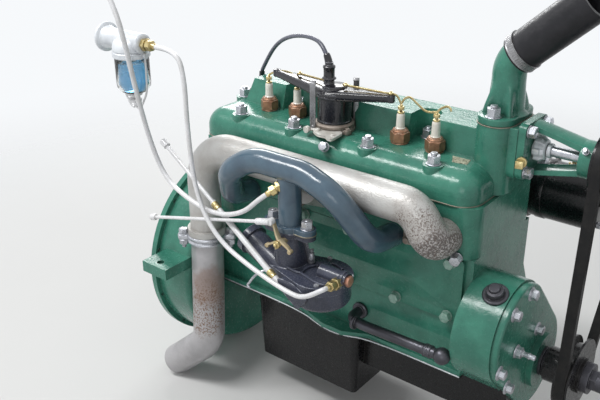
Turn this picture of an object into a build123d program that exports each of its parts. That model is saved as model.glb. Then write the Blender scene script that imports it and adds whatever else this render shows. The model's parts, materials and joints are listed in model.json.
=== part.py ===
from build123d import *
import math
import os

os.makedirs("parts", exist_ok=True)

# Inline four-cylinder side-valve petrol engine, in millimetres.
# The origin is on the crankshaft's axis at the rear face of the flywheel housing.
# X points forward, Y to the engine's left and Z up, so the manifolds lie on the -Y side.

# Cylinder block
deck_z = 295.0
block_rear_x = 98.0
block_front_x = 655.0
block_near_y = -120.0
block_far_y = 98.0
jacket_bottom_z = 208.0
jacket_corner = 28.0
centre_x = 365.0
bank_near_y = -112.0
bank_far_y = 88.0
crankcase_half = 118.0
crankcase_top_z = 88.0
rail_half = 128.0
rail_thickness = 9.0
lobe_start_x = 322.0
lobe_peak_start_x = 389.0
lobe_peak_end_x = 431.0
lobe_end_x = 476.0
lobe_reach = 149.0

# Crankshaft and its running clearance
shaft_r = 25.0
shaft_clearance = 0.3
nose_r = 19.0
crank_flange_r = 50.0
crank_flange_thickness = 12.0

# Timing case and its cover
case_depth = 67.0
cover_thickness = 12.0
cam_y = -85.0
cam_z = 92.0
cam_case_r = 88.0
crank_case_r = 86.0

# Cylinder head
head_rear_x = 82.0
head_front_x = 648.0
head_near_y = -122.0
head_far_y = 100.0
head_side_top_z = 345.0
head_edge_r = 34.0
head_corner_r = 36.0
ridge_top_z = 389.0
ridge_near_y = -37.0
ridge_far_y = 62.0
ridge_rear_x = 118.0
ridge_root = 10.0
ridge_taper = 16.0
gasket_thickness = 2.0

# Studs and nuts
nut_flats = 19.0
nut_height = 15.0
stud_r = 5.5
near_stud_y = -98.0
far_stud_y = 80.0
near_stud_pitch_inner = 77.0
near_stud_pitch_outer = 200.0
mid_stud_pitch = 133.0
rear_stud_x = 99.0
rear_stud_y = -15.0
nut_boss_r = 17.0

# Spark plugs
plug_y = -50.0
plug_pitch_inner = 108.0
plug_pitch_outer = 174.0
plug_seat_z = head_side_top_z
plug_hex_flats = 28.6
plug_hex_height = 17.0

# Water outlet neck and hose
neck_x = 631.0
neck_flange_half_length = 57.0
neck_flange_half_width = 31.0
neck_flange_thickness = 12.0
neck_seat_z = 408.0
neck_stud_y = 43.0
neck_r = 26.0
hose_wall = 5.0
hose_grip = 40.0
hose_stretch = 0.5
neck_lean = 48.0

# Water pump
pump_axis_z = 371.0
pump_face_x = 672.0
pump_flange_thickness = 12.0
pump_bolt_half_y = 28.0
pump_bolt_half_z = 33.0
pump_shaft_r = 8.5
pump_bearing_x = 762.0
pump_bearing_length = 18.0
cage_half_height = 29.0
cage_root_r = 44.0
cage_wall = 7.0
cage_bar_half = 17.0

# Belt drive: each pulley runs about its own axis in the belt's plane
belt_x = 797.0
belt_width = 17.0
belt_depth = 11.0
belt_gap = 0.4
crank_pulley_r = 62.0
fan_pulley_r = 46.0
generator_pulley_r = 40.0
rim_width = 25.0

# Generator and starter motor
generator_y = 162.0
generator_z = 236.0
generator_r = 52.0
generator_rear_x = 545.0
generator_front_x = 748.0
starter_y = 172.0
starter_z = 108.0
starter_r = 56.0
starter_length = 195.0

# Fan
fan_hub_length = 26.5
fan_r = 205.0

# Flywheel housing, flywheel and clutch
housing_r = 196.0
housing_wall = 8.0
housing_bolt_r = 198.0
housing_rim = 12.0
housing_rim_r = 206.0
housing_hole_r = 62.0
arm_half_width = 32.0
arm_reach = 252.0
arm_top_z = 60.0
arm_thickness = 22.0
flywheel_r = 172.0
ring_gear_r = 180.0
flywheel_rear_x = 44.0
flywheel_front_x = 74.0
clutch_r = 128.0
clutch_rear_x = 16.0

# Oil pan
pan_depth = 150.0
pan_front_depth = 92.0
pan_half = 118.0
pan_rear_half = 46.0
sump_rear_x = 203.0
sump_front_x = 444.0

# Valve chamber cover
valve_cover_front_x = 641.0
valve_cover_rear_x = 104.0
valve_cover_bottom_z = 92.0
valve_cover_top_z = 206.0
valve_cover_rise = 10.0

# Manifolds
port_face_y = block_near_y
exhaust_r = 30.0
exhaust_y = -165.0
exhaust_z = 298.0
exhaust_drop_x = 131.0
exhaust_drop_y = -171.0
exhaust_port_pitch = 240.0
exhaust_port_z = 246.0
exhaust_outlet_z = 122.0
pipe_r = 31.0
intake_r = 20.5
intake_port_pitch = 146.0
intake_port_z = 214.0
riser_x = 378.0
riser_y = -222.0
riser_r = 19.5
riser_flange_z = 226.0
riser_flange_half = 50.0
riser_flange_thickness = 9.0

# Distributor
distributor_x = 348.0
distributor_y = -62.0
distributor_r = 29.0
distributor_base_z = head_side_top_z

# Carburettor
carb_joint_z = 165.0
bowl_x = 444.0
bowl_r = 52.0
bowl_bottom_z = 116.0
horn_r = 23.0
horn_mouth_r = 27.0

# Pipes and rods
fuel_pipe_r = 4.0
vacuum_pipe_r = 4.2
lead_r = 3.8
pipe_wall = 2.5


def hex_prism(at, axis, flats, height):
    """Add a hexagonal prism that starts at a point and rises along an axis."""
    with BuildSketch(Plane(origin=at, z_dir=axis)) as outline:
        RegularPolygon(radius=flats / 2, side_count=6, major_radius=False)
    extrude(to_extrude=outline.sketch, amount=height)


def rod(start, end, radius, mode=Mode.ADD):
    """Add or cut a round bar between two points."""
    span = Vector(*end) - Vector(*start)
    with BuildSketch(Plane(origin=start, z_dir=span)) as outline:
        Circle(radius)
    extrude(to_extrude=outline.sketch, amount=span.length, mode=mode)


def cone(start, end, start_r, end_r, end_axis=None, mode=Mode.ADD):
    """Add or cut a cone frustum between two points, its end square to an axis of its own if given."""
    span = Vector(*end) - Vector(*start)
    with BuildSketch(Plane(origin=start, z_dir=span if end_axis is None else (0, 0, 1))) as near_end:
        Circle(start_r)
    with BuildSketch(Plane(origin=end, z_dir=end_axis or span)) as far_end:
        Circle(end_r)
    loft(sections=[near_end.sketch, far_end.sketch], mode=mode)


def bent_bar(points, radii, section_r):
    """Add a round bar along straight runs joined by tangent arcs."""
    with BuildLine() as route:
        FilletPolyline(*points, radius=radii)
    with BuildSketch(Plane(origin=route.line @ 0, z_dir=route.line % 0)) as section:
        Circle(section_r)
    sweep(sections=section.sketch, path=route.line)


def bolt_head(at, axis, flats, height):
    """Add a hexagonal bolt head on a round washer face."""
    washer = 2.0
    direction = Vector(*axis).normalized()
    start = Vector(*at)
    face = start + direction * washer
    rod(tuple(start), tuple(face), flats * 0.6)
    hex_prism(tuple(face), axis, flats, height)


def flange_plan():
    """Add the crankcase flange's outline, which swells outward on its near side."""
    with BuildLine() as edge:
        Polyline(
            (block_rear_x, -rail_half),
            (lobe_start_x, -rail_half),
            (lobe_peak_start_x, -lobe_reach),
            (lobe_peak_end_x, -lobe_reach),
            (lobe_end_x, -rail_half),
            (block_front_x, -rail_half),
            (block_front_x, rail_half),
            (block_rear_x, rail_half),
            close=True,
        )
    make_face(edge.edges())


def finish(builder, label):
    """Label a finished piece and write it to its own file."""
    builder.part.label = label
    export_step(builder.part, f"parts/{label}.step")


mid_stud_x = [centre_x + mid_stud_pitch * step for step in (-1, 1)]
near_stud_x = [
    centre_x + side * pitch
    for side in (-1, 1)
    for pitch in (near_stud_pitch_inner, near_stud_pitch_outer)
]
far_stud_x = [centre_x + mid_stud_pitch * step * 0.95 for step in (-2, -1, 0, 1, 2)]
plug_x = [
    centre_x + side * pitch
    for side in (-1, 1)
    for pitch in (plug_pitch_inner, plug_pitch_outer)
]
case_front_x = block_front_x + case_depth
cover_front_x = case_front_x + cover_thickness

# Cylinder block with its water jacket, valve chamber, crankcase and timing case
with BuildPart() as block:
    with BuildSketch(Plane.XY.offset(jacket_bottom_z)) as jacket_plan:
        with Locations(((block_rear_x + block_front_x) / 2, (block_near_y + block_far_y) / 2)):
            Rectangle(block_front_x - block_rear_x, block_far_y - block_near_y)
        fillet(jacket_plan.vertices().group_by(Axis.X)[-1], jacket_corner)
    extrude(amount=deck_z - jacket_bottom_z)
    with BuildSketch(Plane.YZ.offset(block_rear_x)) as chamber:
        with BuildLine():
            Polyline(
                (bank_near_y, jacket_bottom_z),
                (bank_near_y, crankcase_top_z),
                (-crankcase_half, crankcase_top_z - 30),
                (-crankcase_half, 0),
                (crankcase_half, 0),
                (crankcase_half, crankcase_top_z - 30),
                (bank_far_y, crankcase_top_z + 30),
                (bank_far_y, jacket_bottom_z),
                close=True,
            )
        make_face()
    extrude(amount=block_front_x - block_rear_x)
    with BuildSketch(Plane.YZ.offset(block_front_x)) as case_outline:
        with BuildLine() as case_rings:
            CenterArc((cam_y, cam_z), cam_case_r, 0, 360)
            CenterArc((0, 0), crank_case_r, 0, 360)
        make_hull(case_rings.edges())
        with Locations((0, -crank_case_r)):
            Rectangle(4 * crank_case_r, 2 * crank_case_r, mode=Mode.SUBTRACT)
    extrude(amount=case_depth)
    with BuildSketch(Plane.XY) as rail:
        flange_plan()
    extrude(amount=rail_thickness)
    rod((block_rear_x - 1, 0, 0), (case_front_x + 1, 0, 0), shaft_r + shaft_clearance, Mode.SUBTRACT)
finish(block, "cylinder_block")

# Timing case cover, which closes the gears in at the front
with BuildPart() as cover:
    with BuildSketch(Plane.YZ.offset(case_front_x)) as cover_outline:
        with BuildLine() as cover_rings:
            CenterArc((cam_y, cam_z), cam_case_r - 3, 0, 360)
            CenterArc((0, 0), crank_case_r - 3, 0, 360)
        make_hull(cover_rings.edges())
    extrude(amount=cover_thickness)
    fillet(cover.faces().sort_by(Axis.X)[-1].edges(), 4)
    with BuildSketch(Plane.YZ.offset(case_front_x)) as seal_boss:
        Circle(48)
    extrude(amount=cover_thickness + 10)
    rod((case_front_x - 1, 0, 0), (cover_front_x + 30, 0, 0), shaft_r + shaft_clearance, Mode.SUBTRACT)
finish(cover, "timing_cover")

# Cylinder head: rounded near edge, nut bosses, raised water jacket, outlet pad and pump face
head_bottom_z = deck_z + gasket_thickness
ridge_root_growth = ridge_root * math.tan(math.radians(ridge_taper))
plug_well_r = 20.0
with BuildPart() as head:
    with BuildSketch(Plane.XY.offset(head_bottom_z)) as head_plan:
        with Locations(((head_rear_x + head_front_x) / 2, (head_near_y + head_far_y) / 2)):
            RectangleRounded(head_front_x - head_rear_x, head_far_y - head_near_y, head_corner_r)
    extrude(amount=head_side_top_z - head_bottom_z)
    fillet(head.faces().sort_by(Axis.Z)[-1].edges(), head_edge_r)
    with BuildSketch(Plane.XY.offset(head_side_top_z - ridge_root)) as ridge_plan:
        with Locations(((ridge_rear_x + neck_x) / 2, (ridge_near_y + ridge_far_y) / 2)):
            Rectangle(neck_x - ridge_rear_x, ridge_far_y - ridge_near_y + 2 * ridge_root_growth)
    extrude(amount=ridge_top_z - head_side_top_z + ridge_root, taper=ridge_taper)
    with BuildSketch(Plane.XY.offset(head_bottom_z)) as bosses:
        with Locations(*[(x, near_stud_y) for x in near_stud_x]):
            Circle(nut_boss_r)
        with Locations(*[(x, far_stud_y) for x in far_stud_x]):
            Circle(nut_boss_r)
        with Locations((rear_stud_x, rear_stud_y)):
            Circle(nut_boss_r)
        with Locations((distributor_x, distributor_y)):
            Circle(distributor_r + 9)
    extrude(amount=head_side_top_z - head_bottom_z)
    for x in mid_stud_x:
        with BuildSketch(Plane.XY.offset(head_side_top_z)) as notch:
            with Locations((x, 0)):
                Circle(nut_boss_r + 4)
            with Locations((x, ridge_near_y - 10)):
                Rectangle(2 * nut_boss_r + 8, -2 * (ridge_near_y - 10))
        extrude(amount=ridge_top_z, mode=Mode.SUBTRACT)
    with BuildSketch(Plane.XY.offset(head_side_top_z)) as wells:
        with Locations(*[(x, plug_y) for x in plug_x]):
            Circle(plug_well_r)
        with Locations((distributor_x, distributor_y)):
            Circle(distributor_r + 9)
    extrude(amount=ridge_top_z, mode=Mode.SUBTRACT)
    with BuildSketch(Plane.XY.offset(head_bottom_z)) as neck_pad:
        with Locations((neck_x, 0)):
            SlotOverall(2 * neck_flange_half_length, 2 * neck_flange_half_width, rotation=90)
    extrude(amount=neck_seat_z - head_bottom_z)
    with BuildSketch(Plane.YZ.offset(neck_x)) as pump_pad:
        with Locations((0, pump_axis_z)):
            RectangleRounded(2 * pump_bolt_half_y + 26, 2 * pump_bolt_half_z + 26, 12)
    extrude(amount=pump_face_x - neck_x)
    with BuildSketch(Plane.XY.offset(neck_seat_z)) as above_pad:
        with Locations((neck_x, 0)):
            Rectangle(4 * neck_flange_half_length, 4 * neck_flange_half_length)
    extrude(amount=ridge_top_z, mode=Mode.SUBTRACT)
finish(head, "cylinder_head")

# Head gasket, a thin plate between the block and the head
with BuildPart() as gasket:
    with BuildSketch(Plane.XY.offset(deck_z)) as gasket_plan:
        with Locations(((block_rear_x + block_front_x) / 2 - 4, (block_near_y + block_far_y) / 2)):
            RectangleRounded(
                block_front_x - block_rear_x - 8, block_far_y - block_near_y - 1, head_corner_r
            )
    extrude(amount=gasket_thickness)
finish(gasket, "head_gasket")

# Spark plugs: steel shells, porcelain insulators and brass terminals
shell_top_z = plug_seat_z + plug_hex_height + 8
insulator_top_z = shell_top_z + 26
with BuildPart() as shells:
    for x in plug_x:
        rod((x, plug_y, plug_seat_z), (x, plug_y, plug_seat_z + 3), plug_hex_flats / 2)
        hex_prism((x, plug_y, plug_seat_z + 3), (0, 0, 1), plug_hex_flats, plug_hex_height)
        cone(
            (x, plug_y, plug_seat_z + plug_hex_height + 3),
            (x, plug_y, shell_top_z),
            plug_hex_flats * 0.42,
            plug_hex_flats * 0.32,
        )
finish(shells, "plug_shells")

with BuildPart() as insulators:
    for x in plug_x:
        cone((x, plug_y, shell_top_z), (x, plug_y, insulator_top_z), 7.5, 6.5)
finish(insulators, "plug_insulators")

with BuildPart() as terminals:
    for x in plug_x:
        rod((x, plug_y, insulator_top_z), (x, plug_y, insulator_top_z + 3), 6)
        rod((x, plug_y, insulator_top_z + 3), (x, plug_y, insulator_top_z + 15), 3)
        hex_prism((x, plug_y, insulator_top_z + 8), (0, 0, 1), 10, 6)
finish(terminals, "plug_terminals")

# Water outlet neck: oval flange, flared foot and a bend towards the hose
lean = math.radians(neck_lean)
neck_corner_z = 499.0
neck_bend_r = 30.0
hose_start = 14.0
hose_length = 140.0


def along_hose(distance):
    """Give the point on the hose's axis at a distance from the neck's bend."""
    return (neck_x + distance * math.sin(lean), 0, neck_corner_z + distance * math.cos(lean))


neck_foot_z = neck_seat_z + neck_flange_thickness
neck_foot_height = 56.0
nut_pocket_r = 15.5
with BuildPart() as neck:
    with BuildSketch(Plane.XY.offset(neck_seat_z)) as neck_flange:
        with Locations((neck_x, 0)):
            SlotOverall(2 * neck_flange_half_length, 2 * neck_flange_half_width, rotation=90)
    extrude(amount=neck_flange_thickness)
    with BuildSketch(Plane.XY.offset(neck_foot_z)) as foot_base:
        with Locations((neck_x, 0)):
            SlotOverall(2 * neck_flange_half_length - 6, 2 * neck_flange_half_width - 4, rotation=90)
    with BuildSketch(Plane.XY.offset(neck_foot_z + neck_foot_height)) as foot_top:
        with Locations((neck_x, 0)):
            SlotOverall(2 * neck_r + 12, 2 * neck_r, rotation=90)
    loft(sections=[foot_base.sketch, foot_top.sketch])
    for side in (-1, 1):
        stud_at = (neck_x, side * neck_stud_y, neck_foot_z)
        pocket_top = (neck_x, side * neck_stud_y, neck_foot_z + neck_foot_height)
        rod(stud_at, pocket_top, nut_pocket_r, Mode.SUBTRACT)
    bent_bar(
        [(neck_x, 0, neck_foot_z), (neck_x, 0, neck_corner_z), along_hose(hose_start + hose_grip)],
        [neck_bend_r],
        neck_r,
    )
finish(neck, "water_outlet")

# Nuts on the cylinder head and on the outlet neck, with their stud ends
with BuildPart() as nuts:
    nut_places = [(x, near_stud_y, head_side_top_z) for x in near_stud_x]
    nut_places += [(x, far_stud_y, head_side_top_z) for x in far_stud_x]
    nut_places += [(x, 0, head_side_top_z) for x in mid_stud_x]
    nut_places.append((rear_stud_x, rear_stud_y, head_side_top_z))
    nut_places += [(neck_x, side * neck_stud_y, neck_foot_z) for side in (-1, 1)]
    for x, y, z in nut_places:
        hex_prism((x, y, z), (0, 0, 1), nut_flats, nut_height)
        rod((x, y, z), (x, y, z + nut_height + 4), stud_r)
finish(nuts, "head_nuts")

with BuildPart() as hose:
    rod(along_hose(hose_start), along_hose(hose_start + hose_length), neck_r + hose_wall)
    rod(along_hose(hose_start - 1), along_hose(hose_start + hose_grip), neck_r, Mode.SUBTRACT)
    rod(
        along_hose(hose_start + hose_grip - 1),
        along_hose(hose_start + hose_length + 1),
        neck_r - hose_stretch,
        Mode.SUBTRACT,
    )
finish(hose, "water_hose")

clamp_middle = 24.0
clamp_half = 6.5
with BuildPart() as hose_clamp:
    rod(
        along_hose(clamp_middle - clamp_half),
        along_hose(clamp_middle + clamp_half),
        neck_r + hose_wall + 1.2,
    )
    rod(
        along_hose(clamp_middle - clamp_half - 1),
        along_hose(clamp_middle + clamp_half + 1),
        neck_r + hose_wall,
        Mode.SUBTRACT,
    )
    screw_z = neck_corner_z + clamp_middle * math.cos(lean)
    screw_x = neck_x + clamp_middle * math.sin(lean)
    rod(
        (screw_x, neck_r + hose_wall + 5, screw_z - 14),
        (screw_x, neck_r + hose_wall + 5, screw_z + 14),
        4.5,
    )
finish(hose_clamp, "hose_clamp")

# Water pump: flange, open cage round the shaft, front bearing and packing nut
pump_front_x = pump_face_x + pump_flange_thickness
bearing_end_x = pump_bearing_x + pump_bearing_length
with BuildPart() as pump:
    with BuildSketch(Plane.YZ.offset(pump_face_x)) as pump_flange:
        with Locations((0, pump_axis_z)):
            RectangleRounded(2 * pump_bolt_half_y + 24, 2 * pump_bolt_half_z + 24, 12)
    extrude(amount=pump_flange_thickness)
    cage_ends = ((pump_front_x, 0, pump_axis_z), (pump_bearing_x, 0, pump_axis_z))
    cone(*cage_ends, cage_root_r, cage_half_height)
    cone(*cage_ends, cage_root_r - cage_wall, cage_half_height - cage_wall, mode=Mode.SUBTRACT)
    with BuildSketch(Plane.YZ.offset(pump_front_x)) as beside_bars:
        for side in (-1, 1):
            with Locations((side * (cage_bar_half + cage_root_r), pump_axis_z)):
                Rectangle(2 * cage_root_r, 3 * cage_root_r)
    extrude(amount=pump_bearing_x - pump_front_x, mode=Mode.SUBTRACT)
    rod((pump_bearing_x, 0, pump_axis_z), (bearing_end_x, 0, pump_axis_z), cage_half_height)
    rod(
        (pump_bearing_x - 1, 0, pump_axis_z),
        (bearing_end_x + 1, 0, pump_axis_z),
        pump_shaft_r + shaft_clearance,
        Mode.SUBTRACT,
    )
finish(pump, "pump_body")

packing_length = 22.0
with BuildPart() as packing:
    rod((pump_front_x, 0, pump_axis_z), (pump_front_x + packing_length, 0, pump_axis_z), 14)
    hex_prism((pump_front_x + 4, 0, pump_axis_z), (1, 0, 0), 28, 13)
    rod(
        (pump_front_x - 1, 0, pump_axis_z),
        (pump_front_x + packing_length + 1, 0, pump_axis_z),
        pump_shaft_r + shaft_clearance,
        Mode.SUBTRACT,
    )
finish(packing, "pump_packing_nut")

# Columns: across, height of each bolt on the timing cover
cover_bolt_places = [(-125, 150), (-66, 158), (-158, 62), (-122, 14), (-20, 70)]
with BuildPart() as front_bolts:
    for y in (-pump_bolt_half_y, pump_bolt_half_y):
        for dz in (-pump_bolt_half_z, pump_bolt_half_z):
            bolt_head((pump_front_x, y, pump_axis_z + dz), (1, 0, 0), 16, 10)
    for y, z in cover_bolt_places:
        bolt_head((cover_front_x, y, z), (1, 0, 0), 14, 8)
finish(front_bolts, "front_bolts")

# Fan shaft with its pulley, and the two-bladed fan
pulley_hub_x = bearing_end_x + 3
pulley_front_x = belt_x + rim_width / 2 + 6
fan_x = pulley_front_x + fan_hub_length


def grooved_pulley(y, z, radius, hub_r, hub_rear_x, bore_r):
    """Add a one-groove pulley in the belt's plane, bored for its shaft."""
    half_groove = belt_width / 2 + belt_gap
    half_rim = rim_width / 2
    bottom_r = radius - belt_depth
    with BuildSketch(Plane.XZ.offset(-y)) as half_section:
        with BuildLine():
            Polyline(
                (hub_rear_x, z + bore_r),
                (hub_rear_x, z + hub_r),
                (belt_x - half_rim, z + hub_r),
                (belt_x - half_rim, z + radius),
                (belt_x - half_groove, z + radius),
                (belt_x - half_groove, z + bottom_r),
                (belt_x + half_groove, z + bottom_r),
                (belt_x + half_groove, z + radius),
                (belt_x + half_rim, z + radius),
                (belt_x + half_rim, z + hub_r),
                (pulley_front_x, z + hub_r),
                (pulley_front_x, z + bore_r),
                close=True,
            )
        make_face()
    revolve(profiles=half_section.sketch, axis=Axis((0, y, z), (1, 0, 0)))


with BuildPart() as fan_shaft:
    rod((pump_front_x + 1.3, 0, pump_axis_z), (fan_x + 8, 0, pump_axis_z), pump_shaft_r)
finish(fan_shaft, "fan_shaft")

with BuildPart() as fan_pulley:
    grooved_pulley(0, pump_axis_z, fan_pulley_r, 22, pulley_hub_x, pump_shaft_r)
finish(fan_pulley, "fan_pulley")

blade_root_chord = 46.0
blade_tip_chord = 84.0
blade_root_pitch = 52.0
blade_tip_pitch = 66.0
with BuildPart() as fan:
    rod((pulley_front_x, 0, pump_axis_z), (fan_x + 6, 0, pump_axis_z), 34)
    for side in (-1, 1):
        with BuildSketch(Plane.XY.offset(pump_axis_z + side * 26)) as blade_root:
            with Locations((fan_x, 0)):
                RectangleRounded(4, blade_root_chord, 1.5, rotation=side * (blade_root_pitch - 90))
        with BuildSketch(Plane.XY.offset(pump_axis_z + side * fan_r)) as blade_tip:
            with Locations((fan_x, 0)):
                RectangleRounded(3, blade_tip_chord, 1.2, rotation=side * (blade_tip_pitch - 90))
        loft(sections=[blade_root.sketch, blade_tip.sketch])
    rod((pulley_front_x - 1, 0, pump_axis_z), (fan_x + 9, 0, pump_axis_z), pump_shaft_r, Mode.SUBTRACT)
finish(fan, "fan")

# Crankshaft, its pulley and the hand-crank ratchet
with BuildPart() as crank:
    rod((flywheel_front_x, 0, 0), (flywheel_front_x + crank_flange_thickness, 0, 0), crank_flange_r)
    rod((flywheel_front_x, 0, 0), (cover_front_x + 14, 0, 0), shaft_r)
    rod((cover_front_x + 14, 0, 0), (pulley_front_x, 0, 0), nose_r)
finish(crank, "crankshaft")

with BuildPart() as crank_pulley:
    grooved_pulley(0, 0, crank_pulley_r, 30, cover_front_x + 20, nose_r)
finish(crank_pulley, "crank_pulley")

with BuildPart() as ratchet:
    rod((pulley_front_x, 0, 0), (pulley_front_x + 12, 0, 0), 26)
    hex_prism((pulley_front_x + 12, 0, 0), (1, 0, 0), 32, 10)
    with BuildSketch(Plane.YZ.offset(pulley_front_x + 22)) as ratchet_ring:
        Circle(17)
    extrude(amount=14)
    with BuildSketch(Plane.YZ.offset(pulley_front_x + 28)) as ratchet_slots:
        Rectangle(12, 50)
        Circle(9)
    extrude(amount=10, mode=Mode.SUBTRACT)
finish(ratchet, "crank_ratchet")

# Flywheel, starter ring gear and clutch cover behind the crankshaft flange
with BuildPart() as flywheel:
    with BuildSketch(Plane.XZ) as flywheel_half:
        with BuildLine():
            Polyline(
                (flywheel_rear_x + 12, 0),
                (flywheel_rear_x + 12, clutch_r - 16),
                (flywheel_rear_x, clutch_r - 16),
                (flywheel_rear_x, flywheel_r),
                (flywheel_front_x, flywheel_r),
                (flywheel_front_x, flywheel_r - 30),
                (flywheel_front_x - 10, flywheel_r - 40),
                (flywheel_front_x - 10, crank_flange_r + 14),
                (flywheel_front_x, crank_flange_r + 6),
                (flywheel_front_x, 0),
                close=True,
            )
        make_face()
    revolve(axis=Axis.X)
finish(flywheel, "flywheel")

gear_width = 12.0
gear_teeth = 72
with BuildPart() as ring_gear:
    with BuildSketch(Plane.YZ.offset(flywheel_front_x - gear_width)) as gear_plan:
        with BuildLine():
            tooth = 360 / gear_teeth
            Polyline(
                *[
                    (
                        radius * math.cos(math.radians(tooth * (index + share))),
                        radius * math.sin(math.radians(tooth * (index + share))),
                    )
                    for index in range(gear_teeth)
                    for share, radius in (
                        (0.0, ring_gear_r - 5),
                        (0.3, ring_gear_r - 5),
                        (0.42, ring_gear_r),
                        (0.78, ring_gear_r),
                        (0.9, ring_gear_r - 5),
                    )
                ],
                close=True,
            )
        make_face()
        Circle(flywheel_r, mode=Mode.SUBTRACT)
    extrude(amount=gear_width)
finish(ring_gear, "ring_gear")

clutch_wall = 4.0
with BuildPart() as clutch:
    with BuildSketch(Plane.XZ) as clutch_half:
        with BuildLine():
            Polyline(
                (flywheel_rear_x, clutch_r + 14),
                (flywheel_rear_x - clutch_wall, clutch_r + 14),
                (flywheel_rear_x - clutch_wall, clutch_r),
                (clutch_rear_x + 6, clutch_r - 12),
                (clutch_rear_x, clutch_r - 30),
                (clutch_rear_x, 52),
                (clutch_rear_x + clutch_wall, 52),
                (clutch_rear_x + clutch_wall, clutch_r - 32),
                (clutch_rear_x + 6 + clutch_wall, clutch_r - 18),
                (flywheel_rear_x, clutch_r - 6),
                close=True,
            )
        make_face()
    revolve(axis=Axis.X)
finish(clutch, "clutch_cover")

# Flywheel housing with its frame arms and the seat for the starter motor
with BuildPart() as housing:
    rod((0, 0, 0), (block_rear_x, 0, 0), housing_r)
    rod((0, 0, 0), (housing_rim, 0, 0), housing_rim_r)
    fillet(housing.edges().filter_by(GeomType.CIRCLE).sort_by(Axis.X)[-1], 14)
    with BuildSketch(Plane.YZ.offset(block_rear_x - 40)) as starter_seat:
        with Locations((starter_y, starter_z)):
            Circle(starter_r + 8)
    extrude(amount=40)
    with BuildSketch(Plane.XY.offset(arm_top_z - arm_thickness)) as arms:
        with Locations((block_rear_x - arm_half_width - 2, 0)):
            Rectangle(2 * arm_half_width, 2 * arm_reach)
        with Locations(*[(block_rear_x - arm_half_width - 2, side * (arm_reach - 18)) for side in (-1, 1)]):
            Circle(7, mode=Mode.SUBTRACT)
    extrude(amount=arm_thickness)
    rod((-1, 0, 0), (block_rear_x - 10, 0, 0), housing_r - housing_wall, Mode.SUBTRACT)
    rod((0, 0, 0), (block_rear_x + 1, 0, 0), housing_hole_r, Mode.SUBTRACT)
    with BuildSketch(Plane.YZ) as housing_bolts:
        with PolarLocations(housing_bolt_r, 12, start_angle=15):
            Circle(4.0)
    extrude(amount=housing_rim, mode=Mode.SUBTRACT)
finish(housing, "flywheel_housing")

# Oil pan with its flange, bored where the crankshaft runs
with BuildPart() as pan:
    with BuildSketch(Plane.XY) as pan_flange:
        flange_plan()
        with Locations(((block_front_x + case_front_x) / 2, 0)):
            Rectangle(case_depth, 2 * crank_case_r)
    extrude(amount=-4)
    with BuildSketch(Plane.XY) as sump_plan:
        with Locations(((sump_rear_x + sump_front_x) / 2, 0)):
            RectangleRounded(sump_front_x - sump_rear_x, 2 * pan_half, 16)
    extrude(amount=-pan_depth, taper=3)
    with BuildSketch(Plane.XY) as front_plan:
        with Locations(((sump_front_x - 60 + case_front_x) / 2, 0)):
            Rectangle(case_front_x - sump_front_x + 60, 2 * crank_case_r)
    extrude(amount=-pan_front_depth)
    with BuildSketch(Plane.XY) as rear_plan:
        with Locations(((block_rear_x + sump_rear_x + 30) / 2, 0)):
            Rectangle(sump_rear_x + 30 - block_rear_x, 2 * pan_rear_half)
    extrude(amount=-pan_rear_half)
    rod((block_rear_x - 1, 0, 0), (case_front_x + 1, 0, 0), shaft_r + shaft_clearance, Mode.SUBTRACT)
finish(pan, "oil_pan")

# Valve chamber cover with its hipped face
cover_middle_x = (valve_cover_rear_x + valve_cover_front_x) / 2
cover_middle_z = (valve_cover_bottom_z + valve_cover_top_z) / 2
cover_length = valve_cover_front_x - valve_cover_rear_x
cover_height = valve_cover_top_z - valve_cover_bottom_z
plate = 6.0
with BuildPart() as valve_cover:
    with BuildSketch(Plane.XZ.offset(-bank_near_y)) as plate_outline:
        with Locations((cover_middle_x, cover_middle_z)):
            RectangleRounded(cover_length, cover_height, 8)
    extrude(amount=plate)
    with BuildSketch(Plane.XZ.offset(-bank_near_y + plate)) as hip_base:
        with Locations((cover_middle_x, cover_middle_z)):
            Rectangle(cover_length - 36, cover_height - 36)
    with BuildSketch(Plane.XZ.offset(-bank_near_y + plate + valve_cover_rise)) as hip_ridge:
        with Locations((cover_middle_x, cover_middle_z)):
            Rectangle(cover_length - 158, 4)
    loft(sections=[hip_base.sketch, hip_ridge.sketch])
finish(valve_cover, "valve_cover")

cover_bolt_pitch = 97.0
# Columns: row height, bolts counted from the front
cover_bolt_rows = [
    (valve_cover_bottom_z + 8, (0, 1, 2, 3, 4, 5)),
    (valve_cover_top_z - 8, (0, 2, 3, 5)),
]
with BuildPart() as cover_bolts:
    for z, steps in cover_bolt_rows:
        for step in steps:
            x = valve_cover_front_x - 22 - cover_bolt_pitch * step
            bolt_head((x, bank_near_y - plate, z), (0, -1, 0), 13, 7)
finish(cover_bolts, "cover_bolts")

# Exhaust manifold: a log along the engine that turns down at the rear
exhaust_front_x = centre_x + exhaust_port_pitch
exhaust_rear_x = centre_x - exhaust_port_pitch
with BuildPart() as exhaust:
    bent_bar(
        [
            (exhaust_front_x, port_face_y + 20, exhaust_port_z - 6),
            (exhaust_front_x + 2, exhaust_y + 2, exhaust_port_z),
            (exhaust_front_x - 30, exhaust_y, exhaust_z),
            (exhaust_drop_x, exhaust_drop_y, exhaust_z + 2),
            (exhaust_drop_x, exhaust_drop_y, exhaust_outlet_z),
        ],
        [22, 42, 72],
        exhaust_r,
    )
    for x in (centre_x, exhaust_rear_x):
        rod((x, exhaust_y, exhaust_port_z + 22), (x, port_face_y + 20, exhaust_port_z - 10), 22)
    rod(
        (exhaust_drop_x, exhaust_drop_y, exhaust_outlet_z),
        (exhaust_drop_x, exhaust_drop_y, exhaust_outlet_z + 12),
        pipe_r + 5,
    )
    with BuildSketch(Plane.XZ.offset(-port_face_y)) as port_cut:
        with Locations((centre_x, exhaust_port_z)):
            Rectangle(2 * block_front_x, 2 * deck_z)
    extrude(amount=-100, mode=Mode.SUBTRACT)
finish(exhaust, "exhaust_manifold")

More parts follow.
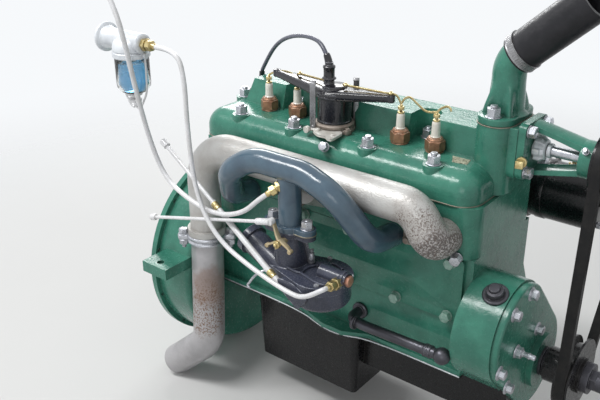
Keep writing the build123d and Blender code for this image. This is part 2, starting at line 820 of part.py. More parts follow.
# Exhaust pipe below the manifold, with its two-bolt clamp
pipe_route = [
    (exhaust_drop_x, exhaust_drop_y, exhaust_outlet_z),
    (exhaust_drop_x, exhaust_drop_y, exhaust_outlet_z - 24),
    (exhaust_drop_x + 10, exhaust_drop_y - 21, -110),
    (exhaust_drop_x - 80, exhaust_drop_y - 30, -190),
]
with BuildPart() as exhaust_pipe:
    bent_bar(pipe_route, [200, 60], pipe_r)
    openings = exhaust_pipe.faces().filter_by(GeomType.PLANE)
    offset(amount=-pipe_wall, openings=openings)
finish(exhaust_pipe, "exhaust_pipe")

clamp_gap = 0.2
clamp_turn = math.radians(38)
clamp_ear = (math.cos(clamp_turn), math.sin(clamp_turn))
with BuildPart() as exhaust_clamp:
    outlet = (exhaust_drop_x, exhaust_drop_y)
    rod((*outlet, exhaust_outlet_z - 16), (*outlet, exhaust_outlet_z), pipe_r + 6)
    for side in (-1, 1):
        bolt_at = [a + side * 46 * share for a, share in zip(outlet, clamp_ear)]
        rod((*bolt_at, exhaust_outlet_z - 18), (*bolt_at, exhaust_outlet_z + 8), 8)
        with BuildSketch(Plane.XY.offset(exhaust_outlet_z - 14)) as ear:
            with Locations((outlet[0] + side * 38 * clamp_ear[0], outlet[1] + side * 38 * clamp_ear[1])):
                Rectangle(24, 16, rotation=math.degrees(clamp_turn))
        extrude(amount=12)
    rod((*outlet, exhaust_outlet_z), (*outlet, exhaust_outlet_z - 20), pipe_r + clamp_gap, Mode.SUBTRACT)
finish(exhaust_clamp, "exhaust_clamp")

# Intake manifold: an arch between its two ports with a riser down to the carburettor
intake_front_x = centre_x + intake_port_pitch
intake_rear_x = centre_x - intake_port_pitch - 10
with BuildPart() as intake:
    bent_bar(
        [
            (intake_front_x, port_face_y + 20, intake_port_z - 2),
            (intake_front_x + 3, -188, intake_port_z + 12),
            (intake_front_x - 41, -229.5, 312),
            (intake_front_x - 101, -226, 331),
            (intake_rear_x + 96, -226, 331),
            (intake_rear_x + 47, -232, 300),
            (intake_rear_x + 11, -190, 232),
            (intake_rear_x - 9, port_face_y + 20, intake_port_z - 8),
        ],
        [50, 60, 90, 90, 60, 60],
        intake_r,
    )
    rod((riser_x, riser_y, riser_flange_z), (riser_x, riser_y, 318), riser_r)
    with BuildSketch(Plane.XY.offset(riser_flange_z)) as riser_flange:
        with Locations((riser_x, riser_y)):
            SlotOverall(2 * riser_flange_half, 30)
            Circle(riser_r + 5)
    extrude(amount=riser_flange_thickness)
    with BuildSketch(Plane.XZ.offset(-port_face_y)) as intake_cut:
        with Locations((centre_x, intake_port_z)):
            Rectangle(2 * block_front_x, 2 * deck_z)
    extrude(amount=-100, mode=Mode.SUBTRACT)
finish(intake, "intake_manifold")

# Manifold clamps with their nuts against the block
clamp_offset_x = [-200, -52, 52, 186]
with BuildPart() as clamps:
    for offset_x in clamp_offset_x:
        x = centre_x + offset_x
        with BuildSketch(Plane.XZ.offset(-port_face_y)) as clamp_plate:
            with Locations((x, 226)):
                SlotOverall(38, 26, rotation=90)
        extrude(amount=12)
        rod((x, port_face_y - 12, 226), (x, port_face_y - 26, 226), stud_r)
        hex_prism((x, port_face_y - 12, 226), (0, -1, 0), nut_flats - 2, 12)
finish(clamps, "manifold_clamps")

# Distributor: iron base, moulded body with its side arms, cap and spring clips
base_top_z = distributor_base_z + 16
body_top_z = base_top_z + 34
cap_top_z = body_top_z + 32
at_distributor = (distributor_x, distributor_y)
with BuildPart() as distributor_base:
    rod((*at_distributor, distributor_base_z), (*at_distributor, base_top_z - 5), distributor_r + 6)
    cone(
        (*at_distributor, base_top_z - 5),
        (*at_distributor, base_top_z),
        distributor_r + 6,
        distributor_r + 1,
    )
finish(distributor_base, "distributor_base")

with BuildPart() as distributor_body:
    rod((*at_distributor, base_top_z), (*at_distributor, body_top_z), distributor_r)
finish(distributor_body, "distributor_body")

arm_z = body_top_z + 24
at_boot = (distributor_x - 12, distributor_y)
boot_top_z = cap_top_z + 30
lead_route = [
    (333, -61, 464),
    (324, -58, 477),
    (309, -52, 488),
    (289, -44, 491),
    (259, -33, 489),
    (219, -18, 480),
    (177, -2, 461),
    (142, 11, 430),
    (110, 24, 389),
]
with BuildPart() as distributor_cap:
    rod((*at_distributor, body_top_z), (*at_distributor, cap_top_z - 12), distributor_r + 3)
    cone((*at_distributor, cap_top_z - 12), (*at_distributor, cap_top_z), distributor_r + 3, 14)
    rod((distributor_x, distributor_y, arm_z), (460, -55, arm_z), 6)
    rod((distributor_x, distributor_y, arm_z), (207, -50, arm_z), 6)
    rod((*at_boot, body_top_z + 20), (*at_boot, boot_top_z), 10.5)
    cone((*at_boot, boot_top_z), lead_route[0], 9, 6, Vector(*lead_route[1]) - Vector(*lead_route[0]))
finish(distributor_cap, "distributor_cap")

clip_thickness = 2.0
clip_width = 10.0
clip_clearance = 0.3
clip_angle = -105
clip_ring_r = distributor_r + 6 + clip_clearance + clip_thickness / 2
with BuildPart() as clips:
    with BuildSketch(Plane.XY.offset(base_top_z - 6)) as clip:
        with Locations(at_distributor):
            with PolarLocations(clip_ring_r, 2, start_angle=clip_angle):
                Rectangle(clip_thickness, clip_width)
    extrude(amount=56)
finish(clips, "distributor_clips")

with BuildPart() as advance_lever:
    with BuildSketch(Plane.XY.offset(base_top_z - 12)) as lever_plan:
        with Locations((distributor_x - 4, distributor_y - 40)):
            SlotOverall(52, 16, rotation=8)
    extrude(amount=5)
    add(distributor_base.part, mode=Mode.SUBTRACT)
finish(advance_lever, "advance_lever")

# Carburettor: throttle barrel, cover with its air horn, and the float bowl
carb_flange_z = riser_flange_z - riser_flange_thickness
bowl_y = riser_y - 2
horn_mouth = (288, riser_y, carb_joint_z + 17)
horn_root = (riser_x + 14, bowl_y - 12, carb_joint_z - 20)


def horn_at(depth):
    """Give the point on the air horn's axis at a depth behind its mouth."""
    inward = (Vector(*horn_root) - Vector(*horn_mouth)).normalized()
    return tuple(Vector(*horn_mouth) + inward * depth)


with BuildPart() as carburettor:
    with BuildSketch(Plane.XY.offset(carb_flange_z)) as carb_flange:
        with Locations((riser_x, riser_y)):
            SlotOverall(2 * riser_flange_half, 28)
            Circle(riser_r + 6)
    extrude(amount=riser_flange_thickness)
    cone((riser_x, riser_y, carb_joint_z), (riser_x, riser_y, carb_flange_z), riser_r + 9, riser_r + 4)
    with BuildSketch(Plane.XY.offset(carb_joint_z - 14)) as cover_plan:
        with BuildLine() as cover_rings_plan:
            CenterArc((bowl_x, bowl_y), bowl_r, 0, 360)
            CenterArc((riser_x - 6, bowl_y), bowl_r - 20, 0, 360)
        make_hull(cover_rings_plan.edges())
    extrude(amount=14)
    rod(horn_root, horn_mouth, horn_r)
    rod(horn_at(12), horn_mouth, horn_mouth_r)
    rod(horn_at(44), horn_at(-1), horn_r - 3.5, Mode.SUBTRACT)
    rod((bowl_x, bowl_y, carb_joint_z + 4), (bowl_x + bowl_r, bowl_y, carb_joint_z + 4), 13)
    rod((398, -271, 146), (402, -244, 156), 7)
finish(carburettor, "carburettor_body")

with BuildPart() as bowl:
    with BuildSketch(Plane.XY.offset(bowl_bottom_z)) as bowl_plan:
        with BuildLine() as bowl_rings:
            CenterArc((bowl_x, bowl_y), bowl_r - 3, 0, 360)
            CenterArc((riser_x - 4, bowl_y), bowl_r - 26, 0, 360)
        make_hull(bowl_rings.edges())
    extrude(amount=carb_joint_z - 14 - bowl_bottom_z)
    fillet(bowl.faces().sort_by(Axis.Z)[0].edges(), 12)
    rod((riser_x - 4, bowl_y, bowl_bottom_z - 12), (riser_x - 4, bowl_y, bowl_bottom_z + 2), 10)
    add(carburettor.part, mode=Mode.SUBTRACT)
finish(bowl, "carburettor_bowl")

fuel_boss_x = 488.0
fuel_fitting_end = (fuel_boss_x, bowl_y - 42, carb_joint_z + 9)
vacuum_root = (376, -224, 308)
vacuum_start = (361, -241, 295)

# Throttle lever, throttle rod and choke rod
lever_y = -256.0
rod_y = lever_y - 8
rod_front = (371, rod_y, 251)
rod_rear = (86, rod_y, 175)
with BuildPart() as throttle_lever:
    rod((riser_x + 6, riser_y - 25.2, 200), (riser_x + 6, lever_y - 3, 200), 5)
    rod((riser_x + 6, lever_y, 200), (rod_front[0], lever_y, rod_front[2]), 4)
    rod((rod_front[0], lever_y + 4, rod_front[2]), (rod_front[0], lever_y - 2, rod_front[2]), 5)
    add(carburettor.part, mode=Mode.SUBTRACT)
finish(throttle_lever, "throttle_lever")

with BuildPart() as throttle_rod:
    rod(rod_front, rod_rear, 3)
    rod_run = Vector(*rod_rear) - Vector(*rod_front)
    rod(rod_front, tuple(Vector(*rod_front) + rod_run * 0.1), 5.5)
    rod(tuple(Vector(*rod_rear) - rod_run * 0.04), rod_rear, 6)
    add(throttle_lever.part, mode=Mode.SUBTRACT)
finish(throttle_rod, "throttle_rod")

choke_front = (393, -270, 149)
choke_rear = (100, -235, 317)
with BuildPart() as choke_rod:
    rod(choke_front, choke_rear, 3.6)
    joint = [a + (b - a) * 0.55 for a, b in zip(choke_front, choke_rear)]
    rod(choke_front, tuple(joint), 5.6)
    tip = [a + (b - a) * 0.97 for a, b in zip(choke_front, choke_rear)]
    rod(tuple(tip), choke_rear, 6.5)
    add(carburettor.part, mode=Mode.SUBTRACT)
finish(choke_rod, "choke_rod")

# Fuel strainer: body with wall flange, glass bowl and wire bail
strainer_x = 80.0
strainer_y = -271.0
strainer_z = 499.0
strainer_nut_x = 114.0
strainer_bowl_r = 29.0
strainer_bowl_top = strainer_z - 25
strainer_bowl_depth = 61.0
with BuildPart() as strainer:
    rod((18, strainer_y, strainer_z), (strainer_nut_x, strainer_y, strainer_z), 17)
    rod((14, strainer_y, strainer_z), (20, strainer_y, strainer_z), 25)
    rod((strainer_x, strainer_y, strainer_bowl_top), (strainer_x, strainer_y, strainer_z), 31)
finish(strainer, "strainer_body")

with BuildPart() as glass:
    with BuildSketch(Plane.XZ.offset(-strainer_y)) as glass_half:
        with BuildLine():
            Polyline(
                (strainer_x, strainer_bowl_top - strainer_bowl_depth),
                (strainer_x + 18, strainer_bowl_top - strainer_bowl_depth),
                (strainer_x + strainer_bowl_r, strainer_bowl_top - strainer_bowl_depth + 12),
                (strainer_x + strainer_bowl_r, strainer_bowl_top),
                (strainer_x + strainer_bowl_r - 3, strainer_bowl_top),
                (strainer_x + strainer_bowl_r - 3, strainer_bowl_top - strainer_bowl_depth + 14),
                (strainer_x + 16, strainer_bowl_top - strainer_bowl_depth + 4),
                (strainer_x, strainer_bowl_top - strainer_bowl_depth + 4),
                close=True,
            )
        make_face()
    revolve(axis=Axis((strainer_x, strainer_y, 0), (0, 0, 1)))
finish(glass, "strainer_bowl")

bail_r = 1.7
bail_half = 34.0
bail_bottom_z = strainer_bowl_top - strainer_bowl_depth - 27
with BuildPart() as bail:
    bent_bar(
        [
            (strainer_x - bail_half, strainer_y, strainer_z - 20),
            (strainer_x - bail_half, strainer_y, strainer_bowl_top - strainer_bowl_depth + 8),
            (strainer_x - 12, strainer_y, bail_bottom_z),
            (strainer_x + 12, strainer_y, bail_bottom_z),
            (strainer_x + bail_half, strainer_y, strainer_bowl_top - strainer_bowl_depth + 8),
            (strainer_x + bail_half, strainer_y, strainer_z - 20),
        ],
        [10, 6, 6, 10],
        bail_r,
    )
    rod((strainer_x, strainer_y, bail_bottom_z - 3), (strainer_x, strainer_y, bail_bottom_z + 10), 5)
    rod(
        (strainer_x, strainer_y, bail_bottom_z + 10),
        (strainer_x, strainer_y, strainer_bowl_top - strainer_bowl_depth),
        11,
    )
finish(bail, "strainer_bail")

# Brass fittings: plug and union on the carburettor, vacuum union, strainer nut
with BuildPart() as fittings:
    bolt_head((bowl_x + bowl_r, bowl_y, carb_joint_z + 4), (1, 0, 0), 14, 5)
    rod((fuel_boss_x, bowl_y - 13.1, carb_joint_z + 4), fuel_fitting_end, 6.5)
    rod(vacuum_root, vacuum_start, 6.5)
    add(intake.part, mode=Mode.SUBTRACT)
    add(carburettor.part, mode=Mode.SUBTRACT)
    hex_prism((strainer_nut_x, strainer_y, strainer_z), (1, 0, 0), 17, 14)
finish(fittings, "pipe_fittings")

# Fuel pipe from the strainer to the carburettor
with BuildPart() as fuel_pipe:
    bent_bar(
        [
            fuel_fitting_end,
            (fuel_boss_x, bowl_y - 56, carb_joint_z + 11.4),
            (446, -284, 148),
            (352, -277, 158),
            (262, -276, 190),
            (216, -275, 262),
            (206, -274, 380),
            (204, strainer_y, strainer_z),
            (strainer_nut_x + 14, strainer_y, strainer_z),
        ],
        [12, 24, 90, 90, 70, 150, 34],
        fuel_pipe_r,
    )
    add(fittings.part, mode=Mode.SUBTRACT)
finish(fuel_pipe, "fuel_pipe")

# Vacuum pipe from the intake manifold

with BuildPart() as vacuum_pipe:
    bent_bar(
        [
            vacuum_start,
            (346, -256, 283),
            (307, -260, 244),
            (250, -264, 228),
            (188, -264, 238),
            (128, -258, 258),
            (111, -270, 318),
            (112, -292, 410),
            (118, -312, 500),
            (110, -318, 560),
            (70, -318, 620),
        ],
        [20, 60, 60, 60, 40, 60, 120, 120, 50],
        vacuum_pipe_r,
    )
    add(fittings.part, mode=Mode.SUBTRACT)
finish(vacuum_pipe, "vacuum_pipe")

# Timing pin in the front cover and the round plug on the case's near shoulder
pin_y = -100.0
pin_z = 70.0
with BuildPart() as timing_pin:
    hex_prism((cover_front_x, pin_y, pin_z), (1, 0, 0), 16, 10)
    rod((cover_front_x, pin_y, pin_z), (cover_front_x + 32, pin_y, pin_z), 4)
finish(timing_pin, "timing_pin")

plug_turn = math.radians(65)
plug_out = (0, -math.cos(plug_turn), math.sin(plug_turn))
with BuildPart() as case_plug:
    plug_middle_x = block_front_x + case_depth * 0.66
    plug_at = Vector(plug_middle_x, cam_y, cam_z)
    rod(
        tuple(plug_at + Vector(*plug_out) * (cam_case_r - 4)),
        tuple(plug_at + Vector(*plug_out) * (cam_case_r + 7)),
        17,
    )
    rod(
        tuple(plug_at + Vector(*plug_out) * (cam_case_r + 7)),
        tuple(plug_at + Vector(*plug_out) * (cam_case_r + 14)),
        9,
    )
    add(block.part, mode=Mode.SUBTRACT)
finish(case_plug, "case_plug")

# Ignition lead from the distributor to its terminal behind the head's ridge


def arc_radii(points):
    """Give each corner's arc radius from the shorter of its two runs and its turn."""
    radii = []
    for before, corner, after in zip(points, points[1:], points[2:]):
        run_in = Vector(*corner) - Vector(*before)
        run_out = Vector(*after) - Vector(*corner)
        turn = math.radians(run_in.get_angle(run_out))
        radii.append(0.45 * min(run_in.length, run_out.length) / math.tan(turn / 2))
    return radii


lead_radii = arc_radii(lead_route)
print("ignition lead radii", [round(radius, 1) for radius in lead_radii])
with BuildPart() as lead:
    bent_bar(lead_route, lead_radii, lead_r)
finish(lead, "ignition_lead")
print("ignition lead length", round(lead.part.volume / (math.pi * lead_r**2), 1))

with BuildPart() as lead_terminal:
    lead_end = Vector(*lead_route[-1])
    rod(tuple(lead_end), (105, 26, 350), 5.5)
    rod((105, 26, 354), (105, 26, 320), 8)
    add(head.part, mode=Mode.SUBTRACT)
    add(lead.part, mode=Mode.SUBTRACT)
finish(lead_terminal, "lead_terminal")

# Oil return pipe with its elbow, low on the near side
elbow_ball_r = 14.0
seat_clearance = 0.2
elbow = (block_front_x - elbow_ball_r - seat_clearance, -168, 58)
return_bend = (452, -158, 46)
oil_pipe_r = 9.0
with BuildPart() as oil_return:
    rod(return_bend, elbow, oil_pipe_r)
    with Locations(elbow):
        Sphere(elbow_ball_r)
    with Locations(return_bend):
        Sphere(oil_pipe_r)
    rod(return_bend, (return_bend[0], -crankcase_half - seat_clearance, return_bend[2]), oil_pipe_r)
finish(oil_return, "oil_return_pipe")

# Generator with its cradle and strap, and its pulley
with BuildPart() as generator:
    rod(
        (generator_rear_x, generator_y, generator_z),
        (generator_front_x, generator_y, generator_z),
        generator_r,
    )
    fillet(generator.edges().filter_by(GeomType.CIRCLE), 7)
    rod(
        (generator_front_x - 30, generator_y, generator_z),
        (generator_front_x + 1, generator_y, generator_z),
        pump_shaft_r + shaft_clearance,
        Mode.SUBTRACT,
    )
finish(generator, "generator")

with BuildPart() as cradle:
    with BuildSketch(Plane.YZ.offset(570)) as cradle_outline:
        with Locations((block_far_y + 25, generator_z + 10)):
            Rectangle(50, 70)
        with Locations((generator_y, generator_z)):
            Circle(generator_r + 5)
            Circle(generator_r, mode=Mode.SUBTRACT)
    extrude(amount=60)
finish(cradle, "generator_cradle")

with BuildPart() as generator_pulley:
    grooved_pulley(
        generator_y, generator_z, generator_pulley_r, 18, generator_front_x + 6, pump_shaft_r
    )
    rod(
        (generator_front_x - 28, generator_y, generator_z),
        (pulley_front_x, generator_y, generator_z),
        pump_shaft_r,
    )
finish(generator_pulley, "generator_pulley")

# Fan belt round the three pulleys, in their grooves
with BuildPart() as belt:
    pulley_circles = [
        (0, 0, crank_pulley_r),
        (generator_y, generator_z, generator_pulley_r),
        (0, pump_axis_z, fan_pulley_r),
    ]
    with BuildSketch(Plane.YZ.offset(belt_x - belt_width / 2)) as belt_outline:
        with BuildLine() as outer_rings:
            for y, z, radius in pulley_circles:
                CenterArc((y, z), radius + 1, 0, 360)
        make_hull(outer_rings.edges())
    extrude(amount=belt_width)
    with BuildSketch(Plane.YZ.offset(belt_x - belt_width / 2)) as belt_inner:
        with BuildLine() as inner_rings:
            for y, z, radius in pulley_circles:
                CenterArc((y, z), radius - belt_depth + belt_gap, 0, 360)
        make_hull(inner_rings.edges())
    extrude(amount=belt_width, mode=Mode.SUBTRACT)
finish(belt, "fan_belt")

# Starter motor on the flywheel housing
with BuildPart() as starter:
    rod(
        (block_rear_x, starter_y, starter_z),
        (block_rear_x + starter_length, starter_y, starter_z),
        starter_r,
    )
    fillet(starter.edges().filter_by(GeomType.CIRCLE).sort_by(Axis.X)[-1], 8)
    rod((200, starter_y, starter_z + starter_r - 6), (245, starter_y, starter_z + starter_r - 6), 16)
finish(starter, "starter_motor")

# Oil filler tube and cap on the far side
with BuildPart() as filler:
    rod((455, crankcase_half - 24, 40), (455, crankcase_half + 52, 128), 21)
    add(block.part, mode=Mode.SUBTRACT)
finish(filler, "oil_filler_tube")

# Water inlet on the far side of the jacket, turned down
inlet_z = 250.0
inlet_r = 24.0
inlet_bend_r = 34.0
inlet_drop = 70.0
with BuildPart() as inlet:
    with BuildSketch(Plane.XZ.offset(-block_far_y)) as inlet_flange:
        with Locations((centre_x, inlet_z)):
            SlotOverall(110, 50)
    extrude(amount=-12)
    inlet_corner = (centre_x, block_far_y + 68, inlet_z)
    inlet_mouth = (centre_x, block_far_y + 68, inlet_z - inlet_drop)
    bent_bar([(centre_x, block_far_y, inlet_z), inlet_corner, inlet_mouth], [inlet_bend_r], inlet_r)
finish(inlet, "water_inlet")
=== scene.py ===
"""Dresses a four-cylinder side-valve petrol engine. All lengths are metres, in the engine's own frame."""

import json
import math

import bmesh
import bpy
import numpy as np
from bpy.props import FloatProperty, FloatVectorProperty, PointerProperty
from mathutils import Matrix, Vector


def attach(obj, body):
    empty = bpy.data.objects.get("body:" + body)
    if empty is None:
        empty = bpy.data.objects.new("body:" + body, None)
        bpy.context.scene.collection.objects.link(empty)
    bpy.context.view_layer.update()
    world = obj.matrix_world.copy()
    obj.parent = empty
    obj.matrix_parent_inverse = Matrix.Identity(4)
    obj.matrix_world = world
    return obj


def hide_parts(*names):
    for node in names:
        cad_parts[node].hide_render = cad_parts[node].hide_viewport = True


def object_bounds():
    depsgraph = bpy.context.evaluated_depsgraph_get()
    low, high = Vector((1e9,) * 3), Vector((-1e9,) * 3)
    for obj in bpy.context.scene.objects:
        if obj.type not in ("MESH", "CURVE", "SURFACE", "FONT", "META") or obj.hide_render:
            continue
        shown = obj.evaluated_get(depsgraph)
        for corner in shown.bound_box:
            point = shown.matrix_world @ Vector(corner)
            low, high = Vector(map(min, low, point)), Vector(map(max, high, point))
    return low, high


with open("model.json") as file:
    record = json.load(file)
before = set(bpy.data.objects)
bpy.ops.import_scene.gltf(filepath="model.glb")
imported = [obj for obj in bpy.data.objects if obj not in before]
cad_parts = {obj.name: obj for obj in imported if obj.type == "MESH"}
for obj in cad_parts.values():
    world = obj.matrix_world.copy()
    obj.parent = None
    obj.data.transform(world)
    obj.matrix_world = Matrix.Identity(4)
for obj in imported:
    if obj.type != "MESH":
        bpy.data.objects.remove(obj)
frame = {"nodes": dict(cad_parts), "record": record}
CAD_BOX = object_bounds()

bl_info = {
    "name": "Side-valve engine finisher",
    "version": (1, 0, 0),
    "blender": (4, 5, 0),
    "location": "3D View > Sidebar > Engine",
    "description": "Adds the fasteners, fittings, lead and finishes of an inline side-valve engine",
    "category": "Object",
}

MM = 0.001
TURN = 2 * math.pi
WELD = 1e-6
UP = (0.0, 0.0, 1.0)
DOWN = (0.0, 0.0, -1.0)
FORWARD = (1.0, 0.0, 0.0)
BACK = (-1.0, 0.0, 0.0)
NEAR = (0.0, -1.0, 0.0)
FAR = (0.0, 1.0, 0.0)
DRESSED = "dressed_"

# Faces that meet at more than this angle keep a sharp edge between them
SHARP_ANGLE = math.radians(32)
# Shares of a nut and screw: the crown beside the flats, the slope of the chamfer
NUT_CROWN = 0.97
CHAMFER_SLOPE = 0.58
# Thickness of the washers and width of the screw slots, in metres
WASHER = 0.0015
SLOT = 0.0008
# A finish's drift in tone, and how rough settled dirt is
DRIFT_SHARE = 0.6
DIRT_ROUGHNESS = 0.75
# Strength of the surround on the engine, and what is added where the camera or a reflection sees it
SOFT_LIGHT = 0.38
SEEN_LIGHT = 0.62


def mm(*values):
    """Give millimetres as an array in metres."""
    return np.array(values, float) * MM


def srgb(red, green, blue):
    """Give a colour written from 0 to 255 as linear light."""
    share = np.array((red, green, blue)) / 255
    low = share / 12.92
    high = ((share + 0.055) / 1.055) ** 2.4
    return tuple(float(value) for value in np.where(share <= 0.04045, low, high))


# Places of the engine's parts, in metres
STUDS = [mm(x, -98, 345) for x in (165, 288, 442, 565)]
STUDS += [mm(x, 80, 345) for x in (112.3, 238.65, 365, 491.35, 617.7)]
STUDS += [mm(232, 0, 345), mm(498, 0, 345), mm(99, -15, 345), mm(631, -43, 420), mm(631, 43, 420)]
PLUGS = [mm(x, -50, 345) for x in (191, 257, 473, 539)]
DISTRIBUTOR = mm(348, -62, 345)
CLIP_OFFSET = 0.0352
STRAINER = mm(80, -271, 499)
NECK = mm(631, 0, 0)
NECK_LEAN = math.radians(48)
NECK_WAY = np.array((math.sin(NECK_LEAN), 0.0, math.cos(NECK_LEAN)))
STAGE_MIDDLE = np.array((0.38, -0.05, 0.2))
LEAD_ROUTE = mm(
    (333, -61, 464),
    (324, -58, 477),
    (309, -52, 488),
    (289, -44, 491),
    (259, -33, 489),
    (219, -18, 480),
    (177, -2, 461),
    (142, 11, 430),
    (110, 24, 389),
)

# Routes of pipes, strips, ribs and levers, in millimetres
FUEL_ROUTE = [
    (488, -264, 173.6), (488, -281, 176), (458, -286, 154), (430, -284, 148), (352, -277, 158),
    (262, -276, 190), (216, -275, 262), (206, -274, 380), (204, -271, 456), (192, -271, 498),
    (127, -271, 499),
]
VACUUM_ROUTE = [
    (362, -240, 296), (346, -256, 283), (307, -260, 244), (250, -264, 228), (188, -264, 238),
    (128, -258, 258), (111, -270, 318), (112, -292, 410), (118, -312, 500), (110, -318, 560),
    (70, -318, 620),
]
CONTACT_ROUTES = (
    [
        (365, -63, 427), (400, -60, 426.4), (440, -56.6, 426),
        (456, -55.5, 426.4), (465, -52, 424), (473, -50, 411),
    ],
    [
        (473, -50, 412.4), (480, -50, 422), (490, -50, 425),
        (503, -50, 417), (520, -50, 408), (539, -50, 410.6),
    ],
    [(539, -50, 411), (546, -50, 418), (555, -50.4, 423), (562, -51, 422), (564, -51, 417)],
    [(335, -62.6, 427), (300, -57, 426.4), (266, -53.6, 426.2), (258, -51, 421), (257, -50, 411)],
    [
        (257, -50, 412.4), (248, -50, 421), (232, -50, 424),
        (212, -50, 421), (198, -50, 415), (191, -50, 410.6),
    ],
)
BOWL_RIBS = (
    [
        (352, -238, 166), (371, -242, 166.5), (394, -246, 166.5), (414, -248, 166.5),
        (418, -240, 166.5), (417, -228, 166.5), (423, -212, 166.5),
    ],
    [(416, -246, 166.5), (434, -250, 166.5), (452, -255, 166.5), (470, -255, 166.5), (484, -244, 166.5)],
    [(423, -212, 166.5), (432, -196, 166.5), (448, -190, 166.5), (466, -196, 166.5)],
)
FORK_ROUTES = (
    [(371, -256, 254), (374, -256.5, 243), (379, -257, 230), (385, -257.5, 219)],
    [(385, -257.5, 221), (374, -258, 213), (364, -258, 207), (360, -258, 203)],
    [(385, -257.5, 221), (394, -257.5, 216), (403, -257.5, 211), (407, -257.5, 205)],
    [(384, -257, 217), (381, -257, 208), (377, -257, 202)],
)


# Settings that a user may change


def colour(label, told, value):
    """Make one colour setting with its default."""
    return FloatVectorProperty(
        name=label, description=told, subtype="COLOR", size=3, min=0, max=1, default=value
    )


def length(label, told, value):
    """Make one length setting with its default."""
    return FloatProperty(
        name=label, description=told, subtype="DISTANCE", unit="LENGTH", min=0, default=value
    )


def power(label, told, value):
    """Make one lamp's power setting with its default."""
    return FloatProperty(name=label, description=told, unit="POWER", min=0, default=value)


class EngineColours(bpy.types.PropertyGroup):
    """Colours of the engine's finishes."""

    green: colour("Engine green", "Enamel on the block, head and case", srgb(68, 136, 116))
    green_shade: colour("Green in thin coats", "Darker drift in the enamel", srgb(42, 98, 84))
    silver: colour("Manifold silver", "Heat coating on the exhaust manifold", srgb(202, 201, 198))
    burnt: colour("Burnt coating", "Specks where the coating has burnt", srgb(104, 88, 78))
    rust: colour("Rust", "Rusty patch on the exhaust pipe", srgb(134, 98, 74))
    blue: colour("Intake blue", "Enamel on the intake manifold", srgb(82, 106, 122))
    blue_shade: colour("Blue in the shade", "Darker drift in the blue enamel", srgb(56, 74, 92))
    iron: colour("Carburettor grey", "Enamel on the carburettor", srgb(74, 78, 94))
    porcelain: colour("Porcelain", "Glaze of the spark plugs", srgb(240, 236, 226))
    brass: colour("Brass", "Terminals and pipe fittings", srgb(208, 192, 142))
    copper: colour("Plug shells", "Heat-tinted steel of the plug shells", srgb(170, 126, 98))
    zinc: colour("Zinc", "Plated nuts and bolts", srgb(198, 200, 206))
    tube: colour("Pipes and rods", "Pale plating on pipes and rods", srgb(238, 238, 240))
    # The oil pan takes this black partly as painted shade, for the dark under its flange
    black: colour("Black enamel", "Pan, pulleys, fan, generator and starter", srgb(16, 16, 19))
    fuel: colour("Fuel", "Fuel that stands in the glass bowl", srgb(92, 150, 188))


class EngineSizes(bpy.types.PropertyGroup):
    """Sizes of the engine's small parts."""

    nut_flats: length("Head nut", "Width across the flats of a head nut", 0.019)
    nut_height: length("Head nut height", "Height of a head nut above its washer", 0.0135)
    stud_radius: length("Stud radius", "Radius of a head stud", 0.0055)
    thread_pitch: length("Thread pitch", "Rise of the studs' thread in one turn", 0.0015)
    plug_flats: length("Plug hexagon", "Width across the flats of a spark plug", 0.0286)
    lead_diameter: length("Lead", "Diameter of the ignition lead", 0.0076)
    fuel_level: length("Fuel level", "Height of the fuel above the bowl's floor", 0.049)


class EngineStage(bpy.types.PropertyGroup):
    """Camera, lamps and floor."""

    lens: FloatProperty(
        name="Lens", description="Focal length", subtype="DISTANCE_CAMERA", unit="CAMERA", default=48.93
    )
    floor: colour("Floor", "Colour of the plain floor", (0.68, 0.68, 0.67))
    sky: colour("Surround", "Colour of the plain surround", (0.93, 0.95, 0.97))
    key: power("Key lamp", "Power of the overhead lamp", 46)
    fill: power("Fill lamp", "Power of the side lamp", 6)
    rim: power("Rim lamp", "Power of the lamp behind", 30)


# Shapes as arrays of points


def unit(vector):
    """Give a vector's direction as a unit vector."""
    vector = np.asarray(vector, float)
    return vector / np.linalg.norm(vector)


def axes(direction, across):
    """Give a place's unit axes as rows: the last runs along direction, the first is nearest to across."""
    along = unit(direction)
    across = np.asarray(across, float)
    if abs(unit(across) @ along) > 0.98:
        across = np.array((0.0, 1.0, 0.0))
    first = unit(across - (across @ along) * along)
    return np.array([first, np.cross(along, first), along])


def placed(points, at, direction=UP, across=FORWARD):
    """Carry points to a place: p = at + x u + y v + z w, with u, v, w the place's axes."""
    return np.asarray(at) + points @ axes(direction, across)


def revolved(profile, sides, limit=None):
    """A turned skin: p(k, t) = (m cos t, m sin t, h_k), with m the smaller of radius r_k and limit(t)."""
    radius, height = np.array(profile, float).T * MM
    t = np.linspace(0, TURN, sides, endpoint=False)
    reach = radius[:, None] * np.ones(sides)
    if limit is not None:
        reach = np.minimum(reach, limit(t)[None, :])
    level = height[:, None] * np.ones(sides)
    return np.stack([reach * np.cos(t), reach * np.sin(t), level], axis=-1)


def turned(profile, sides=48, limit=None):
    """A turned solid, in millimetres: a profile that starts or ends off the axis is closed level there."""
    first, last = profile[0], profile[-1]
    start = [] if first[0] == 0 else [(0, first[1])]
    end = [] if last[0] == 0 else [(0, last[1])]
    return revolved([*start, *profile, *end], sides, limit)


def hexagon(flats):
    """Give a hexagon's edge in polar form: r(t) = a / cos(t mod 60 deg - 30 deg), a half the flats."""
    return lambda t: flats / 2 / np.cos(np.mod(t, math.pi / 3) - math.pi / 6)


def notched(radius, count, depth):
    """Give a notched edge in polar form: r(t) = radius + depth q(t), q being 4 cos(count t) held within 1."""
    return lambda t: radius + depth * np.clip(4 * np.cos(count * t), -1, 1)


def knurl(radius, count, depth):
    """Give a knurled edge in polar form: r(t) = radius - depth (1 + cos(count t)) / 2."""
    return lambda t: radius - depth * (1 + np.cos(count * t)) / 2


